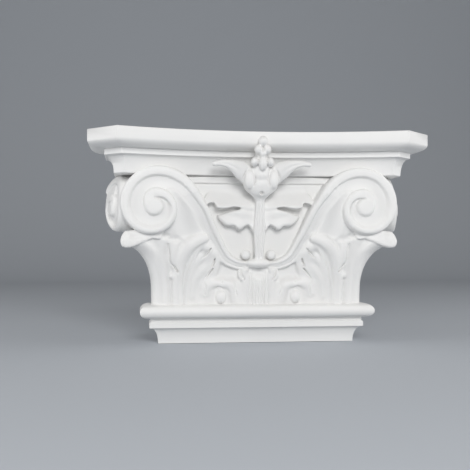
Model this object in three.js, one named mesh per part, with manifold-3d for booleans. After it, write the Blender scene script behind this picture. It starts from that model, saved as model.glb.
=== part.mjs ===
// A flat-backed Corinthian pilaster capital, moulded in one piece.
// Millimetres, +Z up. The wall is the plane Y = 0, the front faces -Y, and the origin is
// the centre of the flat back. Depths are measured out of the wall, so y = -depth.
// Heights are measured up from the underside until the very end, where half the height is
// taken off.

import * as THREE from 'three';
import { mergeVertices } from 'three/addons/utils/BufferGeometryUtils.js';
import Module from 'manifold-3d';

const wasm = await Module();
wasm.setup();

// Shaft that the capital sits on, and the overall height
const SHAFT_WIDTH = 200;
const SHAFT_DEPTH = 24;
const TOTAL_HEIGHT = 210;

// Base mouldings, each standing out from the shaft face
const CAVETTO_HEIGHT = 16;
const CAVETTO_REACH = 9;
const CAVETTO_STEP = 1;
const BASE_FILLET_HEIGHT = 5.5;
const TORUS_SHADE_HEIGHT = 4;
const TORUS_SHADE_DEPTH = 1.5;
const TORUS_HEIGHT = 14;
const TORUS_REACH = 18.5;

// Bell
const NECK_REACH = 6;
const LIP_REACH = 12;
const BELL_TOP_REACH = 10;
const LIP_HEIGHT = 6.5;
const LIP_SHADE_HEIGHT = 1;
const LIP_SHADE_DEPTH = 2;

// Abacus: plan at the top fascia
const ABACUS_WIDTH = 338;
const ABACUS_DEPTH = 87;
const HORN_WIDTH = 280;
const FRONT_SAG = 26;
const CANT_SIDE_DEPTH = 58;

// Abacus: profile from the top down, each moulding's height and how far it is set back
const FASCIA_HEIGHT = 10.5;
const OVOLO_HEIGHT = 7.5;
const OVOLO_SETBACK = 15;
const FILLET_SETBACK = 16;
const FILLET_HEIGHT = 6;
const ABACUS_COVE_HEIGHT = 17.5;
const COVE_TOP_SETBACK = 17.5;
const COVE_FOOT_SETBACK = 25;

// The drawing that the carving is set out on: the neck and abacus it was drawn for. Every
// carved point is moved from there to the real neck and abacus.
const DRAWN_NECK_HEIGHT = 39.5;
const DRAWN_FIELD_HEIGHT = 129;
const DRAWN_NECK_WIDTH = 212;
const DRAWN_NECK_DEPTH = 30;
const DRAWN_ABACUS_WIDTH = 338;
const DRAWN_FRONT_DEPTH = 61;

// Front volute, on the drawing: its eye, its outer edge at the top, and how much each turn closes
const EYE_X = 105;
const EYE_HEIGHT = 136.5;
const EYE_RADIUS = 9.2;
const EYE_RISE = 2.5;
const EYE_SIDES = 10;
const VOLUTE_TOP_RADIUS = 39.5;
const TURN_RATIO = 0.46;
const VOLUTE_FACE = 59;
const VOLUTE_BACK = 36;
const SPIRAL_START = -70;
const SPIRAL_NARROWS = 300;
const RUN_IN_START = 357;
const RUN_IN_END = 470;
const RUN_IN_INNER_SHARE = 0.3;
const SCROLL_FLOOR_TURN = 200;
const SCROLL_FLOOR_DROP = 7;
const SPIRAL_OVERLAP = 2;
const SPIRAL_STEP = 30;
const SIDE_SPIRAL_STEP = 45;

// Side volute: a smaller one on the return, tilted so that it flares towards the wall
const SIDE_SCALE = 0.84;
const SIDE_FRONT_DEPTH = 52;
const SIDE_FACE_X = 138;
const SIDE_FLARE = 0.35;
const SIDE_INNER_X = 104;
const SIDE_TOP_DROP = 8;

// Depth of the stems and of the carving on the bell
const STEM_FACE_FOOT = 41;
const STEM_FACE_TOP = 58;
const RELIEF_ROOT = 20;

// Fineness of the facets
const ARC_STEPS = 12;
const QUARTER_STEPS = 4;
const FROND_SIDES = 6;

// Colour and finish of the casting
const CAST_COLOUR = 0xf2f0ec;
const CAST_ROUGHNESS = 0.6;

// Heights that the mouldings leave for the bell
const TORUS_FOOT = CAVETTO_HEIGHT + BASE_FILLET_HEIGHT + TORUS_SHADE_HEIGHT;
const NECK_HEIGHT = TORUS_FOOT + TORUS_HEIGHT;
const ABACUS_FOOT = TOTAL_HEIGHT - FASCIA_HEIGHT - OVOLO_HEIGHT - FILLET_HEIGHT - ABACUS_COVE_HEIGHT;
const LIP_FOOT = ABACUS_FOOT - LIP_SHADE_HEIGHT - LIP_HEIGHT;

const rad = (degrees) => (degrees * Math.PI) / 180;
const mix = (a, b, k) => a + (b - a) * k;

// Solids from vertices and triangles

// Moves a point of the drawing to its place on the capital. Low down it follows the neck,
// and high up the abacus.
function placed([x, depth, height]) {
  const share = (height - DRAWN_NECK_HEIGHT) / DRAWN_FIELD_HEIGHT;
  const up = Math.min(Math.max(share, 0), 1);
  const neckScale = (SHAFT_WIDTH + 2 * NECK_REACH) / DRAWN_NECK_WIDTH;
  const neckShift = SHAFT_DEPTH + NECK_REACH - DRAWN_NECK_DEPTH;
  const frontShift = ABACUS_DEPTH - FRONT_SAG - DRAWN_FRONT_DEPTH;
  return [
    x * mix(neckScale, ABACUS_WIDTH / DRAWN_ABACUS_WIDTH, up),
    depth + mix(neckShift, frontShift, up),
    NECK_HEIGHT + share * (ABACUS_FOOT - NECK_HEIGHT),
  ];
}

function carving(points, triangles) {
  return solid(points.map(placed), triangles);
}

// Turns points (x, depth, height) and triangles into a solid whose faces point out.
function solid(points, triangles) {
  const geometry = new THREE.BufferGeometry();
  const flat = points.flatMap(([x, depth, height]) => [x, -depth, height]);
  geometry.setAttribute('position', new THREE.Float32BufferAttribute(flat, 3));
  geometry.setIndex(triangles.flat());
  return fromGeometry(geometry);
}

function fromGeometry(source) {
  const bare = source.clone();
  bare.deleteAttribute('normal');
  bare.deleteAttribute('uv');
  const merged = mergeVertices(bare, 1e-4);
  const position = merged.attributes.position;
  const index = Array.from(merged.index.array);
  const corner = (i) => new THREE.Vector3().fromBufferAttribute(position, i);
  const kept = [];
  let volume = 0;
  for (let i = 0; i < index.length; i += 3) {
    const [a, b, c] = index.slice(i, i + 3);
    if (a !== b && b !== c && c !== a) {
      kept.push([a, b, c]);
      volume += corner(a).dot(corner(b).cross(corner(c)));
    }
  }
  const wound = volume > 0 ? kept : kept.map(([a, b, c]) => [a, c, b]);
  return new wasm.Manifold(new wasm.Mesh({
    numProp: 3,
    vertProperties: new Float32Array(position.array),
    triVerts: new Uint32Array(wound.flat()),
  }));
}

function join(solids) {
  return solids.reduce((whole, piece) => whole.add(piece));
}

// Triangles that close a flat outline, wound the way the outline runs.
function capOf(outline) {
  const runs = Math.sign(THREE.ShapeUtils.area(outline));
  return THREE.ShapeUtils.triangulateShape(outline, []).map(([a, b, c]) => {
    const winds = Math.sign(THREE.ShapeUtils.area([outline[a], outline[b], outline[c]]));
    return winds === runs ? [a, b, c] : [a, c, b];
  });
}

// A closed grid of rings with as many points each. outline is the flat shape of one ring,
// and closes both ends.
function loft(rings, outline, make = carving) {
  const count = rings[0].length;
  const triangles = [];
  for (let k = 0; k + 1 < rings.length; k += 1) {
    for (let i = 0; i < count; i += 1) {
      const j = (i + 1) % count;
      const low = k * count;
      const high = low + count;
      triangles.push([low + i, low + j, high + j], [low + i, high + j, high + i]);
    }
  }
  const last = (rings.length - 1) * count;
  for (const [a, b, c] of capOf(outline)) {
    triangles.push([a, c, b], [last + a, last + b, last + c]);
  }
  return make(rings.flat(), triangles);
}

// A moulding: one plan outline, grown or shrunk at each height by a profile.
function moulding(profile, plan) {
  const outlines = profile.map(([height, reach]) => plan(reach).map(([x, d]) => [x, d, height]));
  const flat = outlines[0].map(([x, depth]) => new THREE.Vector2(x, depth));
  return loft(outlines, flat, solid);
}

// A smooth run through control tuples of any length (Catmull-Rom), ends included.
function run(controls, steps) {
  const at = (i) => controls[Math.min(Math.max(i, 0), controls.length - 1)];
  const result = [];
  for (let i = 0; i + 1 < controls.length; i += 1) {
    const [p, q, r, s] = [at(i - 1), at(i), at(i + 1), at(i + 2)];
    for (let k = 0; k < steps; k += 1) {
      const u = k / steps;
      result.push(q.map((value, n) => 0.5 * (2 * value + (r[n] - p[n]) * u
        + (2 * p[n] - 5 * value + 4 * r[n] - s[n]) * u * u
        + (3 * value - p[n] - 3 * r[n] + s[n]) * u * u * u)));
    }
  }
  result.push(at(controls.length - 1));
  return result;
}

// A leaf lobe, stalk or petal: an oval section swept through stations of
// [x, depth, height, half width, half thickness]. outward is the way its face looks (x, depth).
function frond(stations, sides = FROND_SIDES, outward = [0, 1]) {
  const points = stations.map(([x, depth, height]) => new THREE.Vector3(x, depth, height));
  const face = new THREE.Vector3(outward[0], outward[1], 0).normalize();
  const vertices = [];
  const triangles = [];
  const ringAt = (k) => 1 + k * sides;
  const along = (k) => points[Math.min(k + 1, points.length - 1)].clone()
    .sub(points[Math.max(k - 1, 0)]).normalize();
  const cap = (k, sign) => points[k].clone().addScaledVector(along(k), sign * stations[k][4] * 0.5);
  vertices.push(cap(0, -1).toArray());
  stations.forEach(([, , , halfWidth, halfThickness], k) => {
    const across = along(k).cross(face).normalize();
    const up = across.clone().cross(along(k)).normalize();
    for (let i = 0; i < sides; i += 1) {
      const turn = (2 * Math.PI * i) / sides;
      vertices.push(points[k].clone()
        .addScaledVector(across, halfWidth * Math.cos(turn))
        .addScaledVector(up, halfThickness * Math.sin(turn)).toArray());
    }
  });
  vertices.push(cap(points.length - 1, 1).toArray());
  for (let i = 0; i < sides; i += 1) {
    const j = (i + 1) % sides;
    triangles.push([0, ringAt(0) + j, ringAt(0) + i]);
    for (let k = 0; k + 1 < stations.length; k += 1) {
      const low = ringAt(k);
      const high = ringAt(k + 1);
      triangles.push([low + i, low + j, high + j], [low + i, high + j, high + i]);
    }
    const last = ringAt(stations.length - 1);
    triangles.push([last + i, last + j, vertices.length - 1]);
  }
  return carving(vertices, triangles);
}

// A carved band or leaf seen from the front: pairs of edge points with a face depth,
// a profile of [share across, rise], and a back that stays inside what carries it.
// place turns (x, depth, height) of the flat drawing into its place on the capital.
function relief(pairs, profile, back, place = (x, depth, height) => [x, depth, height]) {
  const rings = pairs.map(({ outer, inner, face }) => {
    const front = profile.map(([share, rise]) => place(
      mix(outer[0], inner[0], share), face + rise, mix(outer[1], inner[1], share)));
    const rear = [1, 0].map((share) => place(
      mix(outer[0], inner[0], share), back, mix(outer[1], inner[1], share)));
    return [...front, ...rear];
  });
  const flat = rings[0].map((_, i) => new THREE.Vector2(
    i < profile.length ? profile[i][0] : [1, 0][i - profile.length],
    i < profile.length ? 40 + profile[i][1] : 0));
  return loft(rings, flat);
}

// A berry, bud or boss: an egg with its three half sizes.
function egg([x, depth, height], [halfX, halfDepth, halfHeight]) {
  const ball = new THREE.IcosahedronGeometry(1, 1).attributes.position;
  const points = [];
  const triangles = [];
  for (let i = 0; i < ball.count; i += 1) {
    points.push([
      x + halfX * ball.getX(i),
      depth + halfDepth * ball.getY(i),
      height + halfHeight * ball.getZ(i),
    ]);
  }
  for (let i = 0; i < ball.count; i += 3) {
    triangles.push([i, i + 1, i + 2]);
  }
  return carving(points, triangles);
}

// The other half of something that is the same on both sides.
function mirrored(shape) {
  const { vertProperties, triVerts } = shape.getMesh();
  const points = [];
  const triangles = [];
  for (let i = 0; i < vertProperties.length; i += 3) {
    points.push([-vertProperties[i], -vertProperties[i + 1], vertProperties[i + 2]]);
  }
  for (let i = 0; i < triVerts.length; i += 3) {
    triangles.push([triVerts[i], triVerts[i + 2], triVerts[i + 1]]);
  }
  return solid(points, triangles);
}

// Quarter of an oval from one corner of a moulding's step to the other.
function quarter(point) {
  return Array.from({ length: QUARTER_STEPS + 1 }, (_, k) => point(rad((90 * k) / QUARTER_STEPS)));
}

// Base: cavetto, fillet, shade line and torus round the shaft

function shaftPlan(reach) {
  const x = SHAFT_WIDTH / 2 + reach;
  const depth = SHAFT_DEPTH + reach;
  return [[-x, 0], [-x, depth], [x, depth], [x, 0]];
}

function base() {
  const torusMiddle = TORUS_FOOT + TORUS_HEIGHT / 2;
  const torusBelly = TORUS_REACH - CAVETTO_REACH;
  const filletTop = CAVETTO_HEIGHT + BASE_FILLET_HEIGHT;
  const profile = [
    ...quarter((a) => [CAVETTO_HEIGHT * Math.sin(a), (CAVETTO_REACH - CAVETTO_STEP) * (1 - Math.cos(a))]),
    [CAVETTO_HEIGHT, CAVETTO_REACH],
    [filletTop, CAVETTO_REACH],
    [filletTop, CAVETTO_REACH - TORUS_SHADE_DEPTH],
    [TORUS_FOOT, CAVETTO_REACH - TORUS_SHADE_DEPTH],
  ];
  for (let k = 0; k <= 2 * QUARTER_STEPS; k += 1) {
    const a = rad(-90 + (90 * k) / QUARTER_STEPS);
    profile.push([torusMiddle + (TORUS_HEIGHT / 2) * Math.sin(a),
      CAVETTO_REACH + torusBelly * Math.cos(a)]);
  }
  return moulding(profile, shaftPlan);
}

// Bell: the core behind the leaves, with its lip under the abacus

function bell() {
  const rise = LIP_FOOT - NECK_HEIGHT;
  const profile = [[NECK_HEIGHT - 2, NECK_REACH]];
  for (let k = 0; k <= 4; k += 1) {
    const share = k / 4;
    profile.push([NECK_HEIGHT + rise * share, mix(NECK_REACH, BELL_TOP_REACH, share * share)]);
  }
  profile.push([LIP_FOOT, LIP_REACH]);
  profile.push([LIP_FOOT + LIP_HEIGHT, LIP_REACH]);
  profile.push([LIP_FOOT + LIP_HEIGHT, LIP_REACH - LIP_SHADE_DEPTH]);
  profile.push([ABACUS_FOOT + 1, LIP_REACH - LIP_SHADE_DEPTH]);
  return moulding(profile, shaftPlan);
}

// Abacus: concave front, canted horns, one profile run round the plan

function abacusPlan(setback) {
  const halfHorn = HORN_WIDTH / 2;
  const radius = (halfHorn * halfHorn + FRONT_SAG * FRONT_SAG) / (2 * FRONT_SAG);
  const centre = ABACUS_DEPTH - FRONT_SAG + radius;
  const cant = ABACUS_WIDTH / 2 + CANT_SIDE_DEPTH - setback * Math.SQRT2;
  const reach = radius + setback;
  const shift = cant - centre;
  const hornX = (shift + Math.sqrt(2 * reach * reach - shift * shift)) / 2;
  const sideX = ABACUS_WIDTH / 2 - setback;
  const sweep = Math.asin(hornX / reach);
  const front = Array.from({ length: ARC_STEPS + 1 }, (_, k) => {
    const a = mix(-sweep, sweep, k / ARC_STEPS);
    return [reach * Math.sin(a), centre - reach * Math.cos(a)];
  });
  return [[-sideX, 0], [-sideX, cant - sideX], ...front, [sideX, cant - sideX], [sideX, 0]];
}

function abacus() {
  const filletFoot = ABACUS_FOOT + ABACUS_COVE_HEIGHT;
  const filletTop = filletFoot + FILLET_HEIGHT;
  const fasciaFoot = filletTop + OVOLO_HEIGHT;
  const coveReach = COVE_FOOT_SETBACK - COVE_TOP_SETBACK;
  const profile = [
    ...quarter((a) => [ABACUS_FOOT + ABACUS_COVE_HEIGHT * Math.sin(a),
      COVE_FOOT_SETBACK - coveReach * (1 - Math.cos(a))]),
    [filletFoot, FILLET_SETBACK],
    [filletTop, FILLET_SETBACK],
    ...quarter((a) => [fasciaFoot - OVOLO_HEIGHT * Math.cos(a),
      OVOLO_SETBACK * (1 - Math.sin(a))]),
    [TOTAL_HEIGHT, 0],
  ];
  return moulding(profile, abacusPlan);
}

// Volutes

// Outer edge of the scroll: it closes by the same ratio each turn. Degrees from the top,
// turning outwards and down.
const scrollRadius = (degrees) => VOLUTE_TOP_RADIUS * TURN_RATIO ** (degrees / 360);

// The band is wider before the first turn closes on the next one.
function innerShare(degrees) {
  const open = Math.min(Math.max(-degrees / 80, 0), 1);
  return mix(TURN_RATIO, 0.6, open ** 1.3);
}

function scrollPoint(degrees, share) {
  const radius = scrollRadius(degrees) * share;
  return [-EYE_X - radius * Math.sin(rad(degrees)), EYE_HEIGHT + radius * Math.cos(rad(degrees))];
}

// Shares across the band, from its outer edge, and how the face rises and falls there: a raised
// rim, then a channel down to the next turn
const BAND_PROFILE = [[0, -4], [0.1, 0], [0.4, 0], [0.5, -2.6], [0.8, -3.2], [1, -3.2]];
const STEM_PROFILE = [[0, -4], [0.15, 0], [0.42, -1.6], [0.65, 0], [1, -4]];
const RUN_IN_PROFILE = [[0, -3], [0.2, 0], [0.7, 0], [1, -2]];

function voluteSolids(place, step) {
  const face = (degrees) => VOLUTE_FACE + Math.min(degrees, 360) / 360;
  const arc = (from, to) => {
    const count = Math.ceil((to - from) / step);
    return Array.from({ length: count + 1 }, (_, k) => mix(from, to, k / count));
  };
  const turn = (from, to) => relief(arc(from, to).map((degrees) => ({
    outer: scrollPoint(degrees, 1),
    inner: scrollPoint(degrees, innerShare(degrees)),
    face: face(degrees),
  })), BAND_PROFILE, VOLUTE_BACK, place);
  // the second turn runs in to the eye
  const runIn = relief(arc(RUN_IN_START, RUN_IN_END).map((degrees) => {
    const closed = Math.max(degrees - 360, 0) / (RUN_IN_END - 360);
    const outer = mix(scrollRadius(degrees), EYE_RADIUS, closed * closed * (3 - 2 * closed));
    return {
      outer: scrollPoint(degrees, outer / scrollRadius(degrees)),
      inner: scrollPoint(degrees, RUN_IN_INNER_SHARE),
      face: face(degrees),
    };
  }), RUN_IN_PROFILE, VOLUTE_BACK, place);
  const eye = Array.from({ length: EYE_SIDES }, (_, k) => (2 * Math.PI * k) / EYE_SIDES);
  const level = (radius, depth) => eye.map((a) => place(
    -EYE_X + radius * Math.sin(a),
    depth,
    EYE_HEIGHT + radius * Math.cos(a),
  ));
  const top = VOLUTE_FACE + EYE_RISE;
  const rings = [
    level(EYE_RADIUS, VOLUTE_BACK),
    level(EYE_RADIUS, top - 2),
    level(EYE_RADIUS * 0.8, top - 0.5),
    level(EYE_RADIUS * 0.3, top),
  ];
  const circle = eye.map((a) => new THREE.Vector2(Math.sin(a), Math.cos(a)));
  const floorRadius = scrollRadius(SCROLL_FLOOR_TURN);
  const floorFace = VOLUTE_FACE - SCROLL_FLOOR_DROP;
  return [
    turn(SPIRAL_START, SPIRAL_NARROWS),
    turn(SPIRAL_NARROWS - SPIRAL_OVERLAP, 360),
    runIn,
    loft(rings, circle),
    loft([level(floorRadius, VOLUTE_BACK), level(floorRadius, floorFace)], circle),
  ];
}

function frontVolute() {
  return join(voluteSolids((x, depth, height) => [x, depth, height], SPIRAL_STEP));
}

// The side volute is the front one turned round the corner: what was outwards on the front
// looks forwards here, and its face leans out towards the wall.
function sideVolute() {
  const eyeDepth = SIDE_FRONT_DEPTH - scrollRadius(90) * SIDE_SCALE;
  const topHeight = EYE_HEIGHT + VOLUTE_TOP_RADIUS - SIDE_TOP_DROP;
  const eyeHeight = topHeight - VOLUTE_TOP_RADIUS * SIDE_SCALE;
  const place = (x, depth, height) => {
    const ahead = eyeDepth - (x + EYE_X) * SIDE_SCALE;
    const flare = (SIDE_FRONT_DEPTH - ahead) * SIDE_FLARE;
    const rise = (depth - VOLUTE_FACE) * SIDE_SCALE;
    const faceX = depth === VOLUTE_BACK ? SIDE_INNER_X : SIDE_FACE_X + flare + rise;
    return [-faceX, ahead, eyeHeight + (height - EYE_HEIGHT) * SIDE_SCALE];
  };
  return join(voluteSolids(place, SIDE_SPIRAL_STEP)).subtract(wall());
}

// The space behind the flat back
function wall() {
  return moulding([[0, 0], [TOTAL_HEIGHT, 0]], () => [
    [-ABACUS_WIDTH, -ABACUS_DEPTH], [ABACUS_WIDTH, -ABACUS_DEPTH], [ABACUS_WIDTH, 0], [-ABACUS_WIDTH, 0]]);
}

// S-shaped stem from the collar to the volute: edge points [upper x, h, lower x, h, face]
function stem() {
  const end = SPIRAL_START + SPIRAL_OVERLAP;
  const tip = scrollPoint(end, 1);
  const tipInner = scrollPoint(end, innerShare(end));
  const edges = [
    [-9, 83, -9, 77, STEM_FACE_FOOT - 1],
    [-20, 84.5, -21, 75, STEM_FACE_FOOT],
    [-29, 90.5, -34, 82, STEM_FACE_FOOT + 1],
    [-37, 103, -47, 95, STEM_FACE_FOOT + 4],
    [-43, 116.5, -57, 109, 49],
    [-50, 133, -65.5, 127.5, 55],
    [...tip, ...tipInner, STEM_FACE_TOP],
  ];
  const pairs = run(edges, 2).map(([ux, uh, lx, lh, face]) => ({ outer: [ux, uh], inner: [lx, lh], face }));
  return relief(pairs, STEM_PROFILE, RELIEF_ROOT);
}

// Web between the stem and the volute, a shallow hollow over the corner leaf
function web() {
  const rows = [
    [-92, 104, -57, 104, 45], [-90, 112, -58, 112, 48], [-86, 128, -64, 128, 52],
    [-87, 140, -72, 140, 54], [-92, 150, -82, 150, 54],
  ];
  const pairs = rows.map(([ax, ah, bx, bh, face]) => ({ outer: [ax, ah], inner: [bx, bh], face }));
  return relief(pairs, [[0, 0], [0.5, -2], [1, 0]], RELIEF_ROOT);
}

// Leaves, left half: runs of [x, depth, height, half width, half thickness]

function cornerLeaf() {
  const diagonal = [-1, 1];
  return join([
    // the rib on the corner, curling out to the tip
    frond([[-97, 22, 37, 11, 11], [-98, 24, 62, 11, 11], [-101, 28, 82, 12, 11], [-108, 37, 96, 13, 9],
      [-120, 49, 104, 12, 5], [-131, 56, 103.5, 7, 3.5], [-134, 58, 101, 3, 2]], 8, diagonal),
    // the curled sheet that runs from the tip to the front
    frond([[-131, 56, 103, 5, 3.5], [-118, 58, 106, 8, 3], [-104, 56, 105.5, 8, 3], [-95, 48, 101, 5, 4]]),
    // lobes on the front, from the corner inwards
    frond([[-98, 27, 37, 6, 7], [-99, 32, 66, 6, 7], [-100, 38, 86, 6, 7], [-102, 47, 99, 7, 6]]),
    frond([[-87, 28, 37, 7, 6], [-87, 33, 66, 6, 7], [-88, 38, 84, 7, 8], [-90, 44, 97, 6, 6]]),
    frond([[-80, 28, 37, 6, 6], [-80, 33, 66, 5, 7], [-79, 38, 86, 6, 8], [-75, 44, 100, 8, 7],
      [-66, 46, 107.5, 8, 6], [-57, 46, 109, 4, 4]]),
    frond([[-71, 27, 37, 7, 6], [-70, 31, 60, 6, 7], [-67, 35, 78, 6, 7], [-61, 38, 91, 6, 6],
      [-54, 39, 98, 3.5, 4]]),
    frond([[-66, 27, 50, 5, 6], [-62, 31, 70, 5, 6], [-57, 34, 80, 5, 5], [-51, 35, 86, 3, 3.5]]),
    frond([[-64, 27, 45, 5, 5], [-60, 30, 60, 5, 5], [-54, 32, 72, 4.5, 4.5], [-50, 32, 75, 2.5, 3]]),
    // the bright drop below the slit
    egg([-86, 38.5, 69], [2.6, 3.5, 6]),
    // the side half, plainer
    frond([[-98, 20, 37, 11, 8], [-100, 17, 66, 10, 9], [-105, 16, 88, 11, 9], [-113, 17, 101, 11, 6],
      [-121, 19, 104, 7, 3]], 8, [-1, 0]),
  ]);
}

function footLeaf() {
  return join([
    frond([[-57, 26, 37, 6, 6], [-57, 29, 52, 6, 6.5], [-54, 31, 60, 6, 5.5], [-48, 32, 63, 4, 4]]),
    frond([[-47, 26, 37, 6, 6], [-48, 30, 50, 6, 7], [-46, 32, 60, 7, 5.5], [-38, 32, 63, 4, 3.5]]),
    frond([[-30, 26, 37, 8, 6], [-31, 29, 48, 7, 7], [-33, 31, 58, 6, 6], [-37, 32, 63, 4, 4]]),
    frond([[-22, 26, 37, 6, 6], [-23, 29, 50, 5, 6.5], [-26, 31, 60, 5, 5.5], [-31, 31, 64, 3, 3.5]]),
    egg([-37, 33, 44.5], [5, 4, 5]),
  ]);
}

function centreLeaf() {
  const upper = [
    [-6, 136, -6, 146, 41], [-20, 134.5, -20, 148, 43], [-30, 137.5, -30, 149, 44],
    [-40, 135.5, -40, 148, 45], [-47, 139, -46, 147, 47], [-57, 135.5, -56, 139, 51],
  ];
  const lower = [
    [-5, 111, -6, 135, 43], [-12, 118.5, -12, 135, 44], [-19, 114.5, -18, 135, 45],
    [-27, 118.5, -26, 132, 45], [-35, 120, -34, 128.5, 44], [-41, 125.5, -40, 127.5, 41],
  ];
  const sheet = (rows, profile) => relief(run(rows, 2).map(([ax, ah, bx, bh, face]) => (
    { outer: [ax, ah], inner: [bx, bh], face })), profile, RELIEF_ROOT + 6);
  return join([
    sheet(upper, [[0, -2], [0.12, 0], [0.45, -1.5], [1, -9]]),
    sheet(lower, [[0, -2.5], [0.15, 0], [0.6, -1], [1, -5]]),
  ]);
}

function sheathCurl() {
  return join([
    frond([[-12, 28, 37, 6, 6], [-13, 31, 54, 5, 6], [-16, 33, 66, 5, 5], [-20, 34, 72, 3.5, 3.5]]),
    egg([-15, 37, 73.5], [4, 3.5, 3]),
    egg([-15, 38, 87.5], [5.2, 7.5, 5.2]),
  ]);
}

function petals() {
  return frond([[-9, 52, 152, 8, 7], [-16, 55, 163, 8, 6], [-24, 57, 173, 8, 4.5],
    [-32, 58, 177.5, 5.5, 3.5], [-41, 59, 179, 3, 2.5], [-48, 60, 176.5, 1.2, 1.2]]);
}

// Stalk, stem, flower and berries on the centre line

function centre() {
  const stalk = [-7, -2.4, 2.4, 7].map((x) => frond([[x, 30, 37, 3.4, 5], [x * 0.9, 35, 70, 2.6, 4]]));
  const cup = frond([[-11.5, 37, 81, 3, 3.5], [-5, 41, 79, 5, 4.5], [5, 41, 79, 5, 4.5],
    [11.5, 37, 81, 3, 3.5]]);
  const ribs = [-1, 1].map((side) => frond([[side * 2.6, 37, 80, 2.2, 4], [side * 4, 41, 108, 3, 5],
    [side * 4.5, 44, 134, 3.2, 6], [side * 8, 48, 153, 6, 7]]));
  const spine = frond([[0, 38, 80, 1.6, 4.5], [0, 45, 120, 2.6, 4.5], [0, 48, 146, 4, 6]]);
  const calyx = frond([[0, 47, 153, 12, 8], [0, 51, 161, 17, 11], [0, 53, 170, 13, 10], [0, 54, 181, 8, 9],
    [0, 55, 192, 5, 9], [0, 56, 200, 3, 7]], 10);
  const buds = [-1, 1].map((side) => egg([side * 12, 57, 164.5], [5.5, 5.5, 8.5]));
  const berries = [
    egg([0, 64, 201.5], [4.6, 6, 5]),
    egg([-3.7, 64, 192.5], [4, 6, 4.4]), egg([3.7, 64, 192.5], [4, 6, 4.4]),
    egg([-7.5, 60, 181], [3.6, 6, 4]), egg([7.5, 60, 181], [3.6, 6, 4]),
    egg([0, 63, 178.5], [4, 6, 7]),
  ];
  return join([...stalk, cup, ...ribs, spine, calyx, ...buds, ...berries]);
}

// The whole casting

function capital() {
  const leftHalf = join([frontVolute(), sideVolute(), stem(), web(), cornerLeaf(), footLeaf(),
    centreLeaf(), sheathCurl(), petals()]);
  return join([base(), bell(), abacus(), centre(), leftHalf, mirrored(leftHalf)]);
}

function meshFrom(shape, name, material) {
  const { vertProperties, triVerts } = shape.getMesh();
  const geometry = new THREE.BufferGeometry();
  geometry.setAttribute('position', new THREE.BufferAttribute(new Float32Array(vertProperties), 3));
  geometry.setIndex(new THREE.BufferAttribute(new Uint32Array(triVerts), 1));
  geometry.translate(0, 0, -TOTAL_HEIGHT / 2);
  geometry.computeVertexNormals();
  const mesh = new THREE.Mesh(geometry, material);
  mesh.name = name;
  return mesh;
}

const cast = new THREE.MeshStandardMaterial({
  color: CAST_COLOUR,
  roughness: CAST_ROUGHNESS,
  metalness: 0,
});
const part = new THREE.Group();
part.add(meshFrom(capital(), 'pilaster_capital', cast));

export default part;
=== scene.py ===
"""A white moulded Corinthian pilaster capital, carved as a solid field and cast in one piece.

The carving is set out in millimetres on a drawing: x to the right, depth out of the wall and
height above the underside. Only the left half is carved, because the right half mirrors it.
"""

import logging
import math
from dataclasses import dataclass
from enum import Enum
from typing import Callable, Sequence

import bpy
import numpy as np
import openvdb
from mathutils import Euler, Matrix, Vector


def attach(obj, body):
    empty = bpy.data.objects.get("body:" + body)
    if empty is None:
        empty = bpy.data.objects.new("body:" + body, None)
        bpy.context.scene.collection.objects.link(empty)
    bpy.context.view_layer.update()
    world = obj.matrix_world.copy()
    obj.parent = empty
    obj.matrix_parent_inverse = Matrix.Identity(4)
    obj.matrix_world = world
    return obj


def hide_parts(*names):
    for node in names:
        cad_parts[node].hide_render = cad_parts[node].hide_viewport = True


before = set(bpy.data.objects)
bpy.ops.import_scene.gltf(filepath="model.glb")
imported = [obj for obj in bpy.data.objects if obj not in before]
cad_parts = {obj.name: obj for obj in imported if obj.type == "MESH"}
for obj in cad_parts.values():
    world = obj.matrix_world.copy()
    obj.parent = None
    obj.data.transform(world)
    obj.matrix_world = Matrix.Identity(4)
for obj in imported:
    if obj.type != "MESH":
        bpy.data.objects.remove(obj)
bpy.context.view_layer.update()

NODE = "pilaster_capital"
MM = 0.001
# an empty cell of the grid, in millimetres, and a distance larger than any on the drawing
FAR = np.float32(40.0)
HUGE = 1e6
# how far beyond a form's box, and beyond a stretch of a ribbon, distances are worked out
BOX_MARGIN = 3.0
STRETCH_MARGIN = 4.0
# half sizes of a ribbon never go below this
THINNEST = 0.3
# half width, in cells, of the skin that the mesh is read from
SKIN_CELLS = 3.0
# a leaning face is nearer than its depth says, so depths over it count for less
LEAN = 0.9
Array = np.ndarray
Row = Sequence[float]
Rows = tuple[tuple[float, ...], ...]
Plane = Callable[[Array, Array], Array]
log = logging.getLogger("capital")

# ways that the broad side of a lobe looks, as x, depth, height
FORWARDS = (0.0, 1.0, 0.0)
DIAGONAL = (-1.0, 1.0, 0.0)
SIDEWAYS = (-1.0, 0.0, 0.0)


class Side(Enum):
    """Which face of the casting a volute lies on."""

    FRONT = "front"
    RETURN = "return"


def ramp(value: Array, start: float | Array, span: float | Array) -> Array:
    """Share of the way from start over a span, held between 0 and 1."""
    return np.clip((value - start) / span, 0.0, 1.0)


def ease(share: Array) -> Array:
    """Rounds off both ends of a share that runs from 0 to 1."""
    return share * share * (3.0 - 2.0 * share)


def swell(offset: Array, width: float) -> Array:
    """A soft hump: 1 where the offset is 0, fading over a width."""
    return np.exp(-(offset / width) ** 2)


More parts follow.
